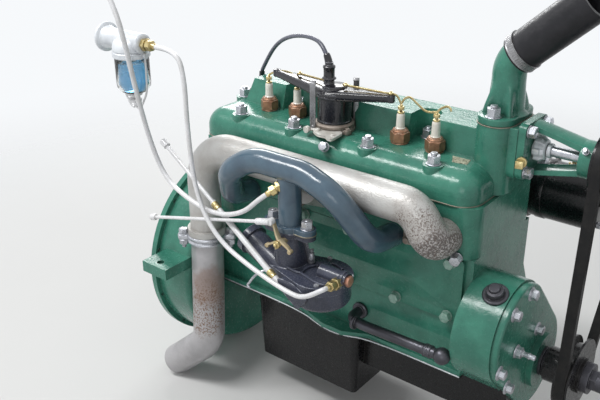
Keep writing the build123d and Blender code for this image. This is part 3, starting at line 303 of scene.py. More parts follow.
def threaded(radius, low, high, pitch, sides=24):
    """A screw thread: r(t, h) = radius - 0.6 pitch |2 frac(h / pitch - t / turn) - 1|, with closed ends."""
    rings = int((high - low) / pitch * 5) + 2
    t = np.linspace(0, TURN, sides, endpoint=False)
    h = np.linspace(low, high, rings)[:, None]
    depth = 0.6 * pitch * np.abs(2 * np.mod(h / pitch - t / TURN, 1) - 1)
    reach = (radius - depth) * np.ones((rings, sides))
    body = np.stack([reach * np.cos(t), reach * np.sin(t), h * np.ones(sides)], axis=-1)
    return closed(body)


def closed(grid):
    """Close a grid's first and last ring with a point at each ring's middle."""
    first = np.broadcast_to(grid[0].mean(axis=0), grid[0].shape)
    last = np.broadcast_to(grid[-1].mean(axis=0), grid[-1].shape)
    return np.concatenate([first[None], grid, last[None]])


def swept(path, radius, sides=16, across=UP, section=None):
    """A bar along a path: p(s, t) = c(s) + radius(s) (x(t) u + y(t) v), with x, y the section or a circle."""
    path = np.asarray(path, float)
    along = np.gradient(path, axis=0)
    along /= np.linalg.norm(along, axis=1, keepdims=True)
    first = np.cross(np.asarray(across, float), along)
    first /= np.linalg.norm(first, axis=1, keepdims=True)
    second = np.cross(along, first)
    t = np.linspace(0, TURN, sides, endpoint=False)
    shape = np.stack([np.cos(t), np.sin(t)], axis=-1) if section is None else np.asarray(section, float)
    size = np.broadcast_to(np.asarray(radius, float), len(path))[:, None, None]
    ring = shape[None, :, :1] * first[:, None] + shape[None, :, 1:] * second[:, None]
    return closed(path[:, None] + size * ring)


def cubic(a, b, c, d, f):
    """Give the Catmull-Rom cubic from b to c, with a before and d after them, at the share f of the run."""
    return 0.5 * (2 * b + (c - a) * f + (2 * a - 5 * b + 4 * c - d) * f**2 + (3 * b - a - 3 * c + d) * f**3)


def smooth_path(points, count=48):
    """A smooth line through points: a Catmull-Rom cubic in each run, evaluated as one array."""
    points = np.asarray(points, float)
    ends = np.concatenate([[2 * points[0] - points[1]], points, [2 * points[-1] - points[-2]]])
    s = np.linspace(0, len(points) - 1, count)
    run = np.minimum(s.astype(int), len(points) - 2)
    return cubic(*(ends[run + step] for step in range(4)), (s - run)[:, None])


def smooth_loop(points, count=64):
    """A smooth closed outline through points in millimetres: a periodic Catmull-Rom cubic as one array."""
    points = np.asarray(points, float) * MM
    s = np.arange(count) * len(points) / count
    run = s.astype(int)
    return cubic(*(points[(run + step) % len(points)] for step in (-1, 0, 1, 2)), (s - run)[:, None])


def rounded(half_x, half_y, corner, count=48):
    """A rounded rectangle: p(t) = (sign(cos t) (w - r) + r cos t, sign(sin t) (h - r) + r sin t)."""
    t = (np.arange(count) + 0.5) * TURN / count
    x = np.sign(np.cos(t)) * (half_x - corner) + corner * np.cos(t)
    y = np.sign(np.sin(t)) * (half_y - corner) + corner * np.sin(t)
    return np.stack([x, y], axis=-1) * MM


def slab(outline, low, high, edge=0.6):
    """A plate: the outline drawn in by e(k) along its normals at height h(k), so both rims are rounded."""
    outline = np.asarray(outline, float)
    along = np.roll(outline, -1, axis=0) - np.roll(outline, 1, axis=0)
    outward = np.stack([along[:, 1], -along[:, 0]], axis=-1)
    outward /= np.linalg.norm(outward, axis=1, keepdims=True) + 1e-12
    a = np.linspace(0, math.pi / 2, 4)
    inset = np.concatenate([1 - np.sin(a), 1 - np.cos(a)]) * edge * MM
    height = np.concatenate([low + edge * (1 - np.cos(a)), high - edge * (1 - np.sin(a))]) * MM
    plan = outline[None] - inset[:, None, None] * outward[None]
    level = np.broadcast_to(height[:, None, None], (len(height), len(outline), 1))
    return closed(np.concatenate([plan, level], axis=-1))


def mesh_of(name, blocks):
    """Make one mesh object of grids; a block is a grid, or a grid and True where its rows close up."""
    points, faces, start = [], [], 0
    for block in blocks:
        grid, looped = block if isinstance(block, tuple) else (block, False)
        rows, columns = grid.shape[:2]
        index = np.arange(rows * columns).reshape(rows, columns) + start
        low = index if looped else index[:-1]
        high = np.roll(index, -1, axis=0) if looped else index[1:]
        quads = np.stack([low, np.roll(low, -1, axis=1), np.roll(high, -1, axis=1), high], axis=-1)
        faces.append(quads.reshape(-1, 4))
        points.append(grid.reshape(-1, 3))
        start += rows * columns
    mesh = bpy.data.meshes.new(name)
    mesh.from_pydata(np.concatenate(points), [], np.concatenate(faces))
    form = bmesh.new()
    form.from_mesh(mesh)
    bmesh.ops.remove_doubles(form, verts=form.verts, dist=WELD)
    bmesh.ops.recalc_face_normals(form, faces=form.faces)
    form.to_mesh(mesh)
    form.free()
    mesh.polygons.foreach_set("use_smooth", np.ones(len(mesh.polygons), bool))
    mesh.set_sharp_from_angle(angle=SHARP_ANGLE)
    thing = bpy.data.objects.new(name, mesh)
    bpy.context.scene.collection.objects.link(thing)
    return thing


def piece(name, blocks, slot, stands_for=(), finish=None, body="engine"):
    """Make a piece of the engine, give it its finish and let it ride on its body."""
    thing = mesh_of(name, blocks)
    thing.data.materials.append(bpy.data.materials[DRESSED + (finish or slot)])
    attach(thing, body)
    if stands_for:
        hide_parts(*stands_for)


# Nodes of the materials


def put(tree, kind, inputs=None, **settings):
    """Add a node; an input's value is a number, a colour or the socket that feeds it."""
    made = tree.nodes.new(kind)
    for name, value in settings.items():
        setattr(made, name, value)
    for key, value in (inputs or {}).items():
        if isinstance(value, bpy.types.NodeSocket):
            tree.links.new(value, made.inputs[key])
        else:
            made.inputs[key].default_value = value
    return made


def calc(tree, operation, first, second=0.0, clamp=False):
    """Add one step of arithmetic and give its result."""
    step = put(tree, "ShaderNodeMath", {0: first, 1: second}, operation=operation, use_clamp=clamp)
    return step.outputs[0]


def spread(tree, value, low, high, to_low=0.0, to_high=1.0):
    """Spread a value smoothly from one range over another and give the result."""
    made = put(
        tree,
        "ShaderNodeMapRange",
        {"Value": value, "From Min": low, "From Max": high, "To Min": to_low, "To Max": to_high},
        interpolation_type="SMOOTHSTEP",
    )
    return made.outputs[0]


def mixed(tree, share, first, second, kind="RGBA"):
    """Mix two colours or two numbers by a share and give the result."""
    low, high, out = {"RGBA": (6, 7, 2), "FLOAT": (2, 3, 0)}[kind]
    made = put(tree, "ShaderNodeMix", {0: share, low: first, high: second}, data_type=kind)
    return made.outputs[out]


def on_object(tree):
    """Give the place on the object, in its own coordinates."""
    return put(tree, "ShaderNodeTexCoord").outputs["Object"]


def vectors(tree, operation, first, second):
    """Add one step of vector arithmetic and give its outputs."""
    return put(tree, "ShaderNodeVectorMath", {0: first, 1: second}, operation=operation).outputs


def noise(tree, where, scale, detail=4.0, rough=0.55):
    """Add a noise pattern and give its value."""
    made = put(
        tree, "ShaderNodeTexNoise", {"Vector": where, "Scale": scale, "Detail": detail, "Roughness": rough}
    )
    return made.outputs[0]


def group(name, inputs, outputs):
    """Start a shader node group; the rows give each socket's name, type and default."""
    tree = bpy.data.node_groups.new(name, "ShaderNodeTree")
    for label, kind, value in inputs:
        socket = tree.interface.new_socket(name=label, in_out="INPUT", socket_type=kind)
        socket.default_value = value
    for label, kind in outputs:
        tree.interface.new_socket(name=label, in_out="OUTPUT", socket_type=kind)
    return tree, put(tree, "NodeGroupInput").outputs, put(tree, "NodeGroupOutput").inputs


NUMBER = "NodeSocketFloat"
TINT = "NodeSocketColor"
DIRECTION = "NodeSocketVector"


def build_effects():
    """Build the effects that several finishes share, each as one node group."""
    # Edge mask for wear and painted highlight, broken up by noise; its normal rounds the edges
    tree, given, result = group(
        "Worn edges",
        [("Radius", NUMBER, 0.001), ("Share", NUMBER, 0.5), ("Break-up", NUMBER, 90.0)],
        [("Normal", DIRECTION), ("Mask", NUMBER)],
    )
    soft = put(tree, "ShaderNodeBevel", {"Radius": given["Radius"]}, samples=4).outputs[0]
    plain = put(tree, "ShaderNodeNewGeometry").outputs["Normal"]
    along = vectors(tree, "DOT_PRODUCT", soft, plain)
    bend = calc(tree, "SUBTRACT", 1.0, along["Value"])
    where = on_object(tree)
    gaps = spread(tree, noise(tree, where, given["Break-up"]), 0.4, 0.62)
    mask = calc(tree, "MULTIPLY", spread(tree, bend, 0.015, 0.12), gaps)
    tree.links.new(soft, result["Normal"])
    tree.links.new(calc(tree, "MULTIPLY", mask, given["Share"], True), result["Mask"])

    tree, given, result = group(
        "Cast skin",
        [("Size", NUMBER, 0.003), ("Pits", NUMBER, 0.3)],
        [("Height", NUMBER), ("Mask", NUMBER)],
    )
    where = on_object(tree)
    scale = calc(tree, "DIVIDE", 1.0, given["Size"])
    grains = noise(tree, where, scale, 5.0, 0.6)
    pits = put(tree, "ShaderNodeTexVoronoi", {"Vector": where, "Scale": scale}).outputs["Distance"]
    hollow = calc(tree, "MULTIPLY", spread(tree, pits, 0.0, 0.35, 1.0, 0.0), given["Pits"])
    tree.links.new(calc(tree, "SUBTRACT", grains, hollow), result["Height"])
    tree.links.new(spread(tree, grains, 0.35, 0.7), result["Mask"])

    # Mask of dirt and painted shade: strongest where ambient occlusion finds hollows, broken into patches
    tree, given, result = group(
        "Settled dirt", [("Reach", NUMBER, 0.02), ("Share", NUMBER, 0.5)], [("Mask", NUMBER)]
    )
    open_air = put(tree, "ShaderNodeAmbientOcclusion", {"Distance": given["Reach"]}, samples=6)
    where = on_object(tree)
    patches = spread(tree, noise(tree, where, 24.0, 5.0), 0.3, 0.7, 0.35, 1.0)
    hidden = spread(tree, open_air.outputs["AO"], 0.25, 0.95, 1.0, 0.0)
    mask = calc(tree, "MULTIPLY", calc(tree, "MULTIPLY", hidden, patches), given["Share"], True)
    tree.links.new(mask, result["Mask"])

    tree, given, result = group(
        "Drifting tone",
        [
            ("Colour", TINT, (0.5, 0.5, 0.5, 1.0)),
            ("Shade", TINT, (0.2, 0.2, 0.2, 1.0)),
            ("Size", NUMBER, 0.06),
            ("Share", NUMBER, 0.5),
        ],
        [("Colour", TINT)],
    )
    where = on_object(tree)
    scale = calc(tree, "DIVIDE", 1.0, given["Size"])
    drift = spread(tree, noise(tree, where, scale, 6.0, 0.6), 0.35, 0.68)
    share = calc(tree, "MULTIPLY", drift, given["Share"], True)
    tree.links.new(mixed(tree, share, given["Colour"], given["Shade"]), result["Colour"])

    tree, given, result = group(
        "Patch",
        [("Middle", DIRECTION, (0.0, 0.0, 0.0)), ("Reach", NUMBER, 0.1), ("Grain", NUMBER, 200.0)],
        [("Mask", NUMBER), ("Specks", NUMBER)],
    )
    where = on_object(tree)
    away = vectors(tree, "DISTANCE", where, given["Middle"])
    near = calc(tree, "DIVIDE", away["Value"], given["Reach"])
    ragged = calc(tree, "ADD", near, calc(tree, "SUBTRACT", noise(tree, where, 38.0), 0.5))
    mask = spread(tree, ragged, 0.55, 1.05, 1.0, 0.0)
    specks = spread(tree, noise(tree, where, given["Grain"], 3.0, 0.7), 0.46, 0.62)
    tree.links.new(mask, result["Mask"])
    tree.links.new(calc(tree, "MULTIPLY", mask, specks), result["Specks"])

    tree, given, result = group(
        "Round fade",
        [("Middle", DIRECTION, (0.0, 0.0, 0.0)), ("Inner", NUMBER, 1.0), ("Outer", NUMBER, 3.0)],
        [("Mask", NUMBER)],
    )
    where = on_object(tree)
    away = vectors(tree, "DISTANCE", where, given["Middle"])
    mask = spread(tree, away["Value"], given["Inner"], given["Outer"], 1.0, 0.0)
    tree.links.new(mask, result["Mask"])

    tree, given, result = group(
        "Fine scratches",
        [("Stretch", DIRECTION, (40.0, 900.0, 900.0))],
        [("Height", NUMBER), ("Mask", NUMBER)],
    )
    where = on_object(tree)
    drawn = vectors(tree, "MULTIPLY", where, given["Stretch"])
    lines = noise(tree, drawn[0], 1.0, 3.0, 0.6)
    tree.links.new(lines, result["Height"])
    tree.links.new(spread(tree, lines, 0.45, 0.7), result["Mask"])


def opaque(value):
    """Give a colour its full opacity."""
    return (*value, 1.0)


def effect(tree, name, inputs):
    """Place a shared effect in a material with its own values."""
    made = put(tree, "ShaderNodeGroup", node_tree=bpy.data.node_groups[name])
    for key, value in inputs.items():
        if isinstance(value, bpy.types.NodeSocket):
            tree.links.new(value, made.inputs[key])
        elif made.inputs[key].type == "RGBA":
            made.inputs[key].default_value = opaque(value)
        else:
            made.inputs[key].default_value = value
    return made.outputs


def material(name, settings):
    """Start a material that holds one Principled shader, and give its nodes and the shader."""
    made = bpy.data.materials.new(DRESSED + name)
    made.use_nodes = True
    tree = made.node_tree
    tree.nodes.clear()
    shader = put(tree, "ShaderNodeBsdfPrincipled", settings)
    tree.links.new(shader.outputs[0], put(tree, "ShaderNodeOutputMaterial").inputs[0])
    return tree, shader


# Usual rows of a finish; a row that stops short takes the rest from here
# Columns of skin: size of the grains, share of pits, height of the bumps
SKIN = (0.003, 0.2, 0.0002)
# Columns of the worn edges: share, colour, metallic, radius of the edge; their pale colour is wear and
# painted highlight
WORN_AND_HIGHLIT = (0.4, (0.5, 0.5, 0.48), 0.7, 0.0012)
# Columns of the dirt in hollows: colour, share, reach; this colour is dirt and painted shade
DIRT_AND_SHADE = ((0.02, 0.018, 0.014), 0.5, 0.02)
# No edge colour: neither wear nor painted highlight
PLAIN_EDGES = (0.0,)


def finish(
    name,
    base,
    shade,
    drift=0.06,
    metallic=0.0,
    rough=(0.3, 0.45),
    skin=SKIN,
    worn_and_highlit=WORN_AND_HIGHLIT,
    dirt_and_shade=DIRT_AND_SHADE,
    coat=0.0,
    shine=0.5,
    scratch=None,
    patches=(),
):
    """Compose one finish: drifting colour, dirt and painted shade in corners, worn edges with painted
    highlight, a cast or scratched skin, patches.
    """
    grains, pits, bump = (*skin, *SKIN[len(skin) :])
    edge_wear_and_highlight_share, edge_wear_and_highlight_colour, worn_metallic, edge = (*worn_and_highlit, *WORN_AND_HIGHLIT[len(worn_and_highlit) :])
    dirt_and_shade_colour, dirt_and_shade_share, dirt_and_shade_reach = (*dirt_and_shade, *DIRT_AND_SHADE[len(dirt_and_shade) :])
    tree, shader = material(
        name, {"Coat Weight": coat, "Coat Roughness": 0.12, "Specular IOR Level": shine}
    )
    tone = effect(
        tree, "Drifting tone", {"Colour": base, "Shade": shade, "Size": drift, "Share": DRIFT_SHARE}
    )["Colour"]
    grain = effect(tree, "Cast skin", {"Size": grains, "Pits": pits})
    height = grain["Height"]
    roughness = spread(tree, grain["Mask"], 0.0, 1.0, *rough)
    if scratch:
        lines = effect(tree, "Fine scratches", {"Stretch": scratch})
        height = calc(tree, "ADD", calc(tree, "MULTIPLY", height, 0.4), lines["Height"])
        roughness = calc(tree, "ADD", roughness, calc(tree, "MULTIPLY", lines["Mask"], 0.1))
    metal = metallic
    # Columns of a patch: middle, reach, scale of its specks, colour, roughness, share of a solid patch or 0
    for middle, reach, speck_grain, tint, tint_rough, solid in patches:
        patch = effect(tree, "Patch", {"Middle": tuple(mm(*middle)), "Reach": reach, "Grain": speck_grain})
        share = calc(tree, "MULTIPLY", patch["Mask"], solid) if solid else patch["Specks"]
        tone = mixed(tree, share, tone, opaque(tint))
        roughness = mixed(tree, share, roughness, tint_rough, "FLOAT")
        metal = mixed(tree, share, metal, 0.0, "FLOAT")
    # Dirt and painted shade: a dark colour mixed in where ambient occlusion finds hollows
    dirt_and_shade_mask = effect(tree, "Settled dirt", {"Reach": dirt_and_shade_reach, "Share": dirt_and_shade_share})["Mask"]
    tone = mixed(tree, dirt_and_shade_mask, tone, opaque(dirt_and_shade_colour))
    roughness = mixed(tree, dirt_and_shade_mask, roughness, DIRT_ROUGHNESS, "FLOAT")
    # Pale edge colour: wear and painted highlight
    edges = effect(tree, "Worn edges", {"Radius": edge, "Share": edge_wear_and_highlight_share})
    tone = mixed(tree, edges["Mask"], tone, opaque(edge_wear_and_highlight_colour))
    metal = mixed(tree, edges["Mask"], metal, worn_metallic, "FLOAT")
    bumps = put(
        tree,
        "ShaderNodeBump",
        {"Height": height, "Distance": bump, "Strength": 1.0, "Normal": edges["Normal"]},
    )
    tree.links.new(tone, shader.inputs["Base Color"])
    tree.links.new(metal, shader.inputs["Metallic"])
    tree.links.new(roughness, shader.inputs["Roughness"])
    tree.links.new(bumps.outputs[0], shader.inputs["Normal"])


def clear(name, tint, waviness, rough):
    """Compose a clear finish with a slightly wavy skin, for glass and for fuel."""
    tree, shader = material(name, {"Transmission Weight": 1.0, "IOR": 1.46, "Roughness": rough})
    pale = tuple(min(1.0, value * 1.12) for value in tint)
    tone = effect(tree, "Drifting tone", {"Colour": tint, "Shade": pale, "Size": 0.02, "Share": DRIFT_SHARE})
    waves = effect(tree, "Cast skin", {"Size": 0.012, "Pits": 0.0})
    bumps = put(tree, "ShaderNodeBump", {"Height": waves["Height"], "Distance": waviness, "Strength": 1.0})
    tree.links.new(tone["Colour"], shader.inputs["Base Color"])
    tree.links.new(bumps.outputs[0], shader.inputs["Normal"])


class ENGINE_OT_finishes(bpy.types.Operator):
    """Builds the engine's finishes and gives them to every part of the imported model."""

    bl_idname = "engine.finishes"
    bl_label = "Finishes"

    def execute(self, context):
        c = context.scene.engine_colours
        build_effects()
        grey = srgb(120, 122, 126)
        # Near-black that goes into hollows: soot and dirt, and painted shade
        soot_and_shade = srgb(30, 27, 24)
        # The green's hollows take a darker green, painted shade with dirt; its pale edges are wear and
        # painted highlight
        finish(
            "engine_green", c.green, c.green_shade, rough=(0.16, 0.3), coat=0.12, shine=0.35,
            skin=(0.007, 0.1, 0.0005), worn_and_highlit=(0.35, srgb(170, 196, 184), 0.1),
            dirt_and_shade=(srgb(36, 48, 42), 0.55),
        )
        finish(
            "exhaust_cast", c.silver, srgb(172, 166, 160), metallic=0.45, rough=(0.34, 0.52),
            skin=(0.0026, 0.5, 0.0007), worn_and_highlit=PLAIN_EDGES, dirt_and_shade=(soot_and_shade, 0.6),
            patches=[
                ((626, -165, 226), 0.066, 430.0, srgb(74, 64, 62), 0.7, 0.8),
                ((608, -178, 244), 0.085, 430.0, c.burnt, 0.7, 0.0),
                ((618, -176, 232), 0.07, 300.0, srgb(206, 202, 200), 0.4, 0.0),
            ],
        )
        finish(
            "exhaust_pipe_metal", srgb(186, 184, 186), srgb(150, 148, 150), metallic=0.45,
            rough=(0.32, 0.5), skin=(0.003, 0.2, 0.0002), worn_and_highlit=PLAIN_EDGES, dirt_and_shade=(soot_and_shade, 0.4),
            patches=[
                ((158, -196, 20), 0.05, 160.0, c.rust, 0.8, 0.5),
                ((150, -205, -30), 0.07, 300.0, srgb(128, 100, 80), 0.8, 0.0),
            ],
        )
        finish(
            "intake_blue", c.blue, c.blue_shade, rough=(0.14, 0.24), coat=0.3,
            skin=(0.007, 0.2, 0.0004), worn_and_highlit=(0.45, srgb(206, 212, 218)), dirt_and_shade=(soot_and_shade, 0.5, 0.014),
        )
        finish(
            "carburettor_iron", c.iron, srgb(40, 43, 54), rough=(0.18, 0.34), coat=0.2, shine=0.4,
            skin=(0.0026, 0.2, 0.0003), worn_and_highlit=(0.85, srgb(206, 210, 222), 0.4, 0.0015),
            dirt_and_shade=(soot_and_shade, 0.5, 0.012),
        )
        finish(
            "black_moulding", srgb(24, 24, 30), srgb(36, 34, 38), rough=(0.14, 0.28), coat=0.3,
            skin=(0.004, 0.0, 0.0001), worn_and_highlit=(0.6, srgb(168, 170, 182), 0.0),
            dirt_and_shade=(srgb(64, 56, 50), 0.25, 0.01),
        )
        finish(
            "black_paint", c.black, srgb(30, 29, 30), rough=(0.2, 0.34), coat=0.1, shine=0.3,
            skin=(0.004, 0.2, 0.00015), worn_and_highlit=(0.35, grey), dirt_and_shade=(srgb(60, 54, 46), 0.35),
        )
        finish(
            "dark_steel", srgb(86, 86, 92), srgb(56, 55, 58), metallic=0.85, rough=(0.3, 0.5),
            scratch=(60.0, 700.0, 700.0), skin=(0.0025, 0.2, 0.0001), worn_and_highlit=(0.5, srgb(186, 186, 192)),
            dirt_and_shade=(soot_and_shade, 0.45),
        )
        finish(
            "weathered_metal", srgb(150, 140, 130), srgb(104, 90, 80), drift=0.012, metallic=0.4,
            rough=(0.45, 0.68), skin=(0.0014, 0.4, 0.0002), worn_and_highlit=(0.6, srgb(206, 200, 192)),
            dirt_and_shade=(soot_and_shade, 0.5, 0.008),
        )
        finish(
            "lever_metal", srgb(228, 226, 220), srgb(188, 182, 170), drift=0.014, metallic=0.35,
            rough=(0.35, 0.55), skin=(0.0016, 0.2, 0.00012), worn_and_highlit=(0.4, srgb(238, 236, 230)),
            dirt_and_shade=(srgb(72, 62, 50), 0.6, 0.006),
        )
        finish(
            "zinc_steel", c.zinc, srgb(160, 162, 168), drift=0.01, metallic=0.75, rough=(0.24, 0.42),
            skin=(0.0012, 0.1, 0.00006), worn_and_highlit=(0.4, srgb(236, 236, 240), 0.7, 0.0006),
            dirt_and_shade=(srgb(66, 62, 58), 0.6, 0.005),
        )
        finish(
            "bright_tube", c.tube, srgb(216, 215, 213), drift=0.03, metallic=0.1, rough=(0.24, 0.4),
            skin=(0.002, 0.05, 0.00005), worn_and_highlit=PLAIN_EDGES, dirt_and_shade=(srgb(110, 100, 84), 0.4, 0.006),
        )
        finish(
            "strainer_cast", srgb(232, 236, 240), srgb(200, 204, 210), drift=0.02, metallic=0.2,
            rough=(0.32, 0.48), skin=(0.0016, 0.2, 0.00014), worn_and_highlit=(0.3, srgb(240, 240, 244)),
            dirt_and_shade=(srgb(96, 92, 88), 0.5, 0.008),
        )
        finish(
            "brass_fitting", c.brass, srgb(158, 130, 76), drift=0.008, metallic=0.85,
            rough=(0.26, 0.46), skin=(0.0012, 0.15, 0.00008),
            worn_and_highlit=(0.6, srgb(246, 236, 200), 0.7, 0.0006), dirt_and_shade=(srgb(62, 50, 32), 0.6, 0.004),
        )
        finish(
            "copper_shell", c.copper, srgb(104, 68, 52), drift=0.009, metallic=0.55, rough=(0.32, 0.5),
            skin=(0.0012, 0.3, 0.0001), worn_and_highlit=(0.9, srgb(236, 218, 196), 0.7, 0.0008),
            dirt_and_shade=(srgb(52, 34, 24), 0.55, 0.004),
        )
        finish(
            "porcelain", c.porcelain, srgb(222, 216, 202), drift=0.014, rough=(0.08, 0.16), coat=0.5,
            skin=(0.006, 0.0, 0.00003), worn_and_highlit=PLAIN_EDGES, dirt_and_shade=(srgb(150, 132, 108), 0.5, 0.003),
        )
        finish(
            "gasket_metal", srgb(150, 146, 132), srgb(104, 98, 84), drift=0.02, metallic=0.4,
            rough=(0.3, 0.5), skin=(0.0015, 0.2, 0.00008), worn_and_highlit=PLAIN_EDGES, dirt_and_shade=(soot_and_shade, 0.15, 0.002),
        )
        finish(
            "hose_rubber", srgb(26, 26, 30), srgb(46, 45, 49), drift=0.03, rough=(0.3, 0.5),
            shine=0.35, skin=(0.004, 0.1, 0.0003), worn_and_highlit=(0.2, srgb(92, 90, 90), 0.0),
            dirt_and_shade=(srgb(84, 78, 68), 0.3),
        )
        finish(
            "belt_rubber", srgb(20, 20, 21), srgb(42, 40, 38), drift=0.02, rough=(0.42, 0.62),
            shine=0.25, skin=(0.0012, 0.3, 0.00016), worn_and_highlit=(0.3, srgb(80, 76, 70), 0.0),
            dirt_and_shade=(srgb(70, 64, 56), 0.3),
        )
        finish(
            "lead_cover", srgb(92, 94, 108), srgb(70, 72, 84), drift=0.03, rough=(0.3, 0.42), coat=0.1,
            skin=(0.003, 0.0, 0.00006), worn_and_highlit=PLAIN_EDGES, dirt_and_shade=(srgb(40, 38, 38), 0.3, 0.006),
        )
        # Pale green with paler edges: worn paint and painted highlight
        finish(
            "worn_green", srgb(150, 184, 170), srgb(92, 138, 122), drift=0.006, rough=(0.2, 0.36),
            coat=0.3, skin=(0.002, 0.2, 0.0002), worn_and_highlit=(0.8, srgb(214, 222, 218), 0.5),
            dirt_and_shade=(srgb(36, 48, 42), 0.6, 0.008),
        )
        finish(
            "bare_iron", srgb(214, 212, 188), srgb(150, 144, 120), drift=0.006, metallic=0.25,
            rough=(0.4, 0.6), skin=(0.002, 0.5, 0.0003), worn_and_highlit=PLAIN_EDGES, dirt_and_shade=(soot_and_shade, 0.3, 0.004),
            patches=[
                ((602, -62, 345), 0.03, 260.0, srgb(96, 88, 70), 0.8, 0.0),
            ],
        )
        finish(
            "spring_steel", srgb(158, 158, 160), srgb(112, 110, 110), drift=0.02, metallic=0.7,
            rough=(0.26, 0.42), skin=(0.0014, 0.2, 0.00006), worn_and_highlit=(0.5, srgb(226, 226, 228)),
            dirt_and_shade=(soot_and_shade, 0.4, 0.006),
        )
        finish(
            "tan_metal", srgb(204, 188, 154), srgb(158, 134, 92), drift=0.012, metallic=0.45,
            rough=(0.3, 0.5), skin=(0.0016, 0.2, 0.00012), worn_and_highlit=(0.5, srgb(240, 232, 208)),
            dirt_and_shade=(srgb(72, 58, 38), 0.6, 0.006),
        )
        finish(
            "pink_copper", srgb(214, 160, 134), srgb(176, 116, 92), drift=0.008, metallic=0.5,
            rough=(0.3, 0.46), skin=(0.0012, 0.2, 0.00008), worn_and_highlit=(0.6, srgb(244, 222, 204)),
            dirt_and_shade=(srgb(70, 40, 28), 0.5, 0.004),
        )
        clear("clear_glass", (0.93, 0.97, 0.97), 0.00012, 0.03)
        clear("fuel_liquid", tuple(c.fuel), 0.00002, 0.02)
        for row in frame["record"]["subparts"]:
            node = frame["nodes"][row["node"]]
            node.data.materials.clear()
            node.data.materials.append(bpy.data.materials[DRESSED + row["material_slot"]])
        return {"FINISHED"}


def stand(thing, rows, at):
    """Give an object its three axes and its place."""
    thing.matrix_world = [[*rows[0], 0], [*rows[1], 0], [*rows[2], 0], [*at, 1]]
    bpy.context.scene.collection.objects.link(thing)


def disc(middle, inner, outer, level):
    """A flat round floor: p(k, t) = (x + r_k cos t, r_k sin t, level), with r_k growing in equal ratios."""
    radius = np.concatenate([[0.0], np.geomspace(inner, outer, 14)])[:, None]
    t = np.linspace(0, TURN, 72, endpoint=False)
    height = np.full((len(radius), len(t)), level)
    return np.stack([middle + radius * np.cos(t), radius * np.sin(t), height], axis=-1)


class ENGINE_OT_stage(bpy.types.Operator):
    """Sets the camera, the lamps, the surround and the plain floor."""

    bl_idname = "engine.stage"
    bl_label = "Stage"

    def execute(self, context):
        scene = context.scene
        s = scene.engine_stage
        view = bpy.data.cameras.new("view")
        view.lens = s.lens
        view.sensor_width = 36.0
        view.clip_start = 0.01
        camera = bpy.data.objects.new("view", view)
        # Rows: the camera's right, its up and the way it looks away from
        rows = (
            (0.78262, 0.62246, -0.00637),
            (-0.25636, 0.33162, 0.90791),
            (0.56725, -0.70892, 0.41911),
        )
        stand(camera, rows, (1.13395, -1.14063, 0.82479))
        scene.camera = camera

        middle_x, low = 0.35, CAD_BOX[0][2]
        floor = mesh_of("floor", [disc(middle_x, 0.3, 16.0, low)])
        paint = bpy.data.materials.new("floor_paper")
        paint.use_nodes = True
        tree = paint.node_tree
        shader = tree.nodes["Principled BSDF"]
        tone = effect(
            tree,
            "Drifting tone",
            {"Colour": s.floor, "Shade": tuple(0.97 * v for v in s.floor), "Size": 0.5, "Share": 0.5},
        )
        tree.links.new(tone["Colour"], shader.inputs["Base Color"])
        shader.inputs["Roughness"].default_value = 0.85
        fade = effect(tree, "Round fade", {"Middle": (middle_x, 0.0, low), "Inner": 0.75, "Outer": 2.3})
        tree.links.new(fade["Mask"], shader.inputs["Alpha"])
        floor.data.materials.append(paint)

        world = scene.world or bpy.data.worlds.new("surround")
        scene.world = world
        world.use_nodes = True
        tree = world.node_tree
        sky = tree.nodes["Background"]
        sky.inputs["Color"].default_value = opaque(s.sky)
        seen = put(tree, "ShaderNodeLightPath").outputs
        mirrored = calc(tree, "ADD", seen["Is Glossy Ray"], seen["Is Transmission Ray"])
        shown = calc(tree, "ADD", seen["Is Camera Ray"], mirrored, True)
        shown = calc(tree, "MULTIPLY", shown, SEEN_LIGHT)
        tree.links.new(calc(tree, "ADD", shown, SOFT_LIGHT), sky.inputs["Strength"])
        # Columns: lamp's name, place, width, height, power
        for name, place, width, height, watts in (
            ("key_lamp", (-0.45, -1.15, 2.25), 1.5, 0.45, s.key),
            ("fill_lamp", (1.5, -2.3, 1.0), 0.9, 0.9, s.fill),
            ("rim_lamp", (-1.05, 1.75, 1.45), 1.9, 0.5, s.rim),
        ):
            lamp = bpy.data.lights.new(name, "AREA")
            lamp.shape = "RECTANGLE"
            lamp.size = width
            lamp.size_y = height
            lamp.energy = watts
            hung = bpy.data.objects.new(name, lamp)
            stand(hung, axes(np.array(place) - STAGE_MIDDLE, FORWARD), place)
        scene.view_settings.view_transform = "Standard"
        return {"FINISHED"}


class ENGINE_OT_ignition_lead(bpy.types.Operator):
    """Lays the ignition lead from the distributor's boot to its terminal."""

    bl_idname = "engine.ignition_lead"
    bl_label = "Ignition lead"

    def execute(self, context):
        diameter = context.scene.engine_sizes.lead_diameter
        line = bpy.data.curves.new("lead", "CURVE")
        line.dimensions = "3D"
        line.bevel_depth = diameter / 2
        line.bevel_resolution = 6
        line.resolution_u = 16
        spline = line.splines.new("NURBS")
        spline.points.add(len(LEAD_ROUTE) - 1)
        spline.points.foreach_set("co", [v for point in LEAD_ROUTE for v in (*point, 1.0)])
        spline.order_u = 3
        spline.use_endpoint_u = True
        lead = bpy.data.objects.new("lead", line)
        context.scene.collection.objects.link(lead)
        line.materials.append(bpy.data.materials[DRESSED + "lead_cover"])
        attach(lead, "engine")
        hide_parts("ignition_lead")
        return {"FINISHED"}


# Forms of the engine's small parts


def bar(radius, low, high):
    """Give the profile of a plain round bar, in millimetres."""
    return [(radius, low), (radius, high)]


def puck(radius, low, high, bevel=0.6):
    """Give the profile of a round bar with bevelled rims, in millimetres."""
    rim = radius - bevel
    return [(rim, low), (radius, low + 1), (radius, high - 1), (rim, high)]


def lathe(profile, at, direction=UP, sides=48, limit=None):
    """Turn a profile and stand it at a place."""
    return placed(turned(profile, sides, limit), at, direction)


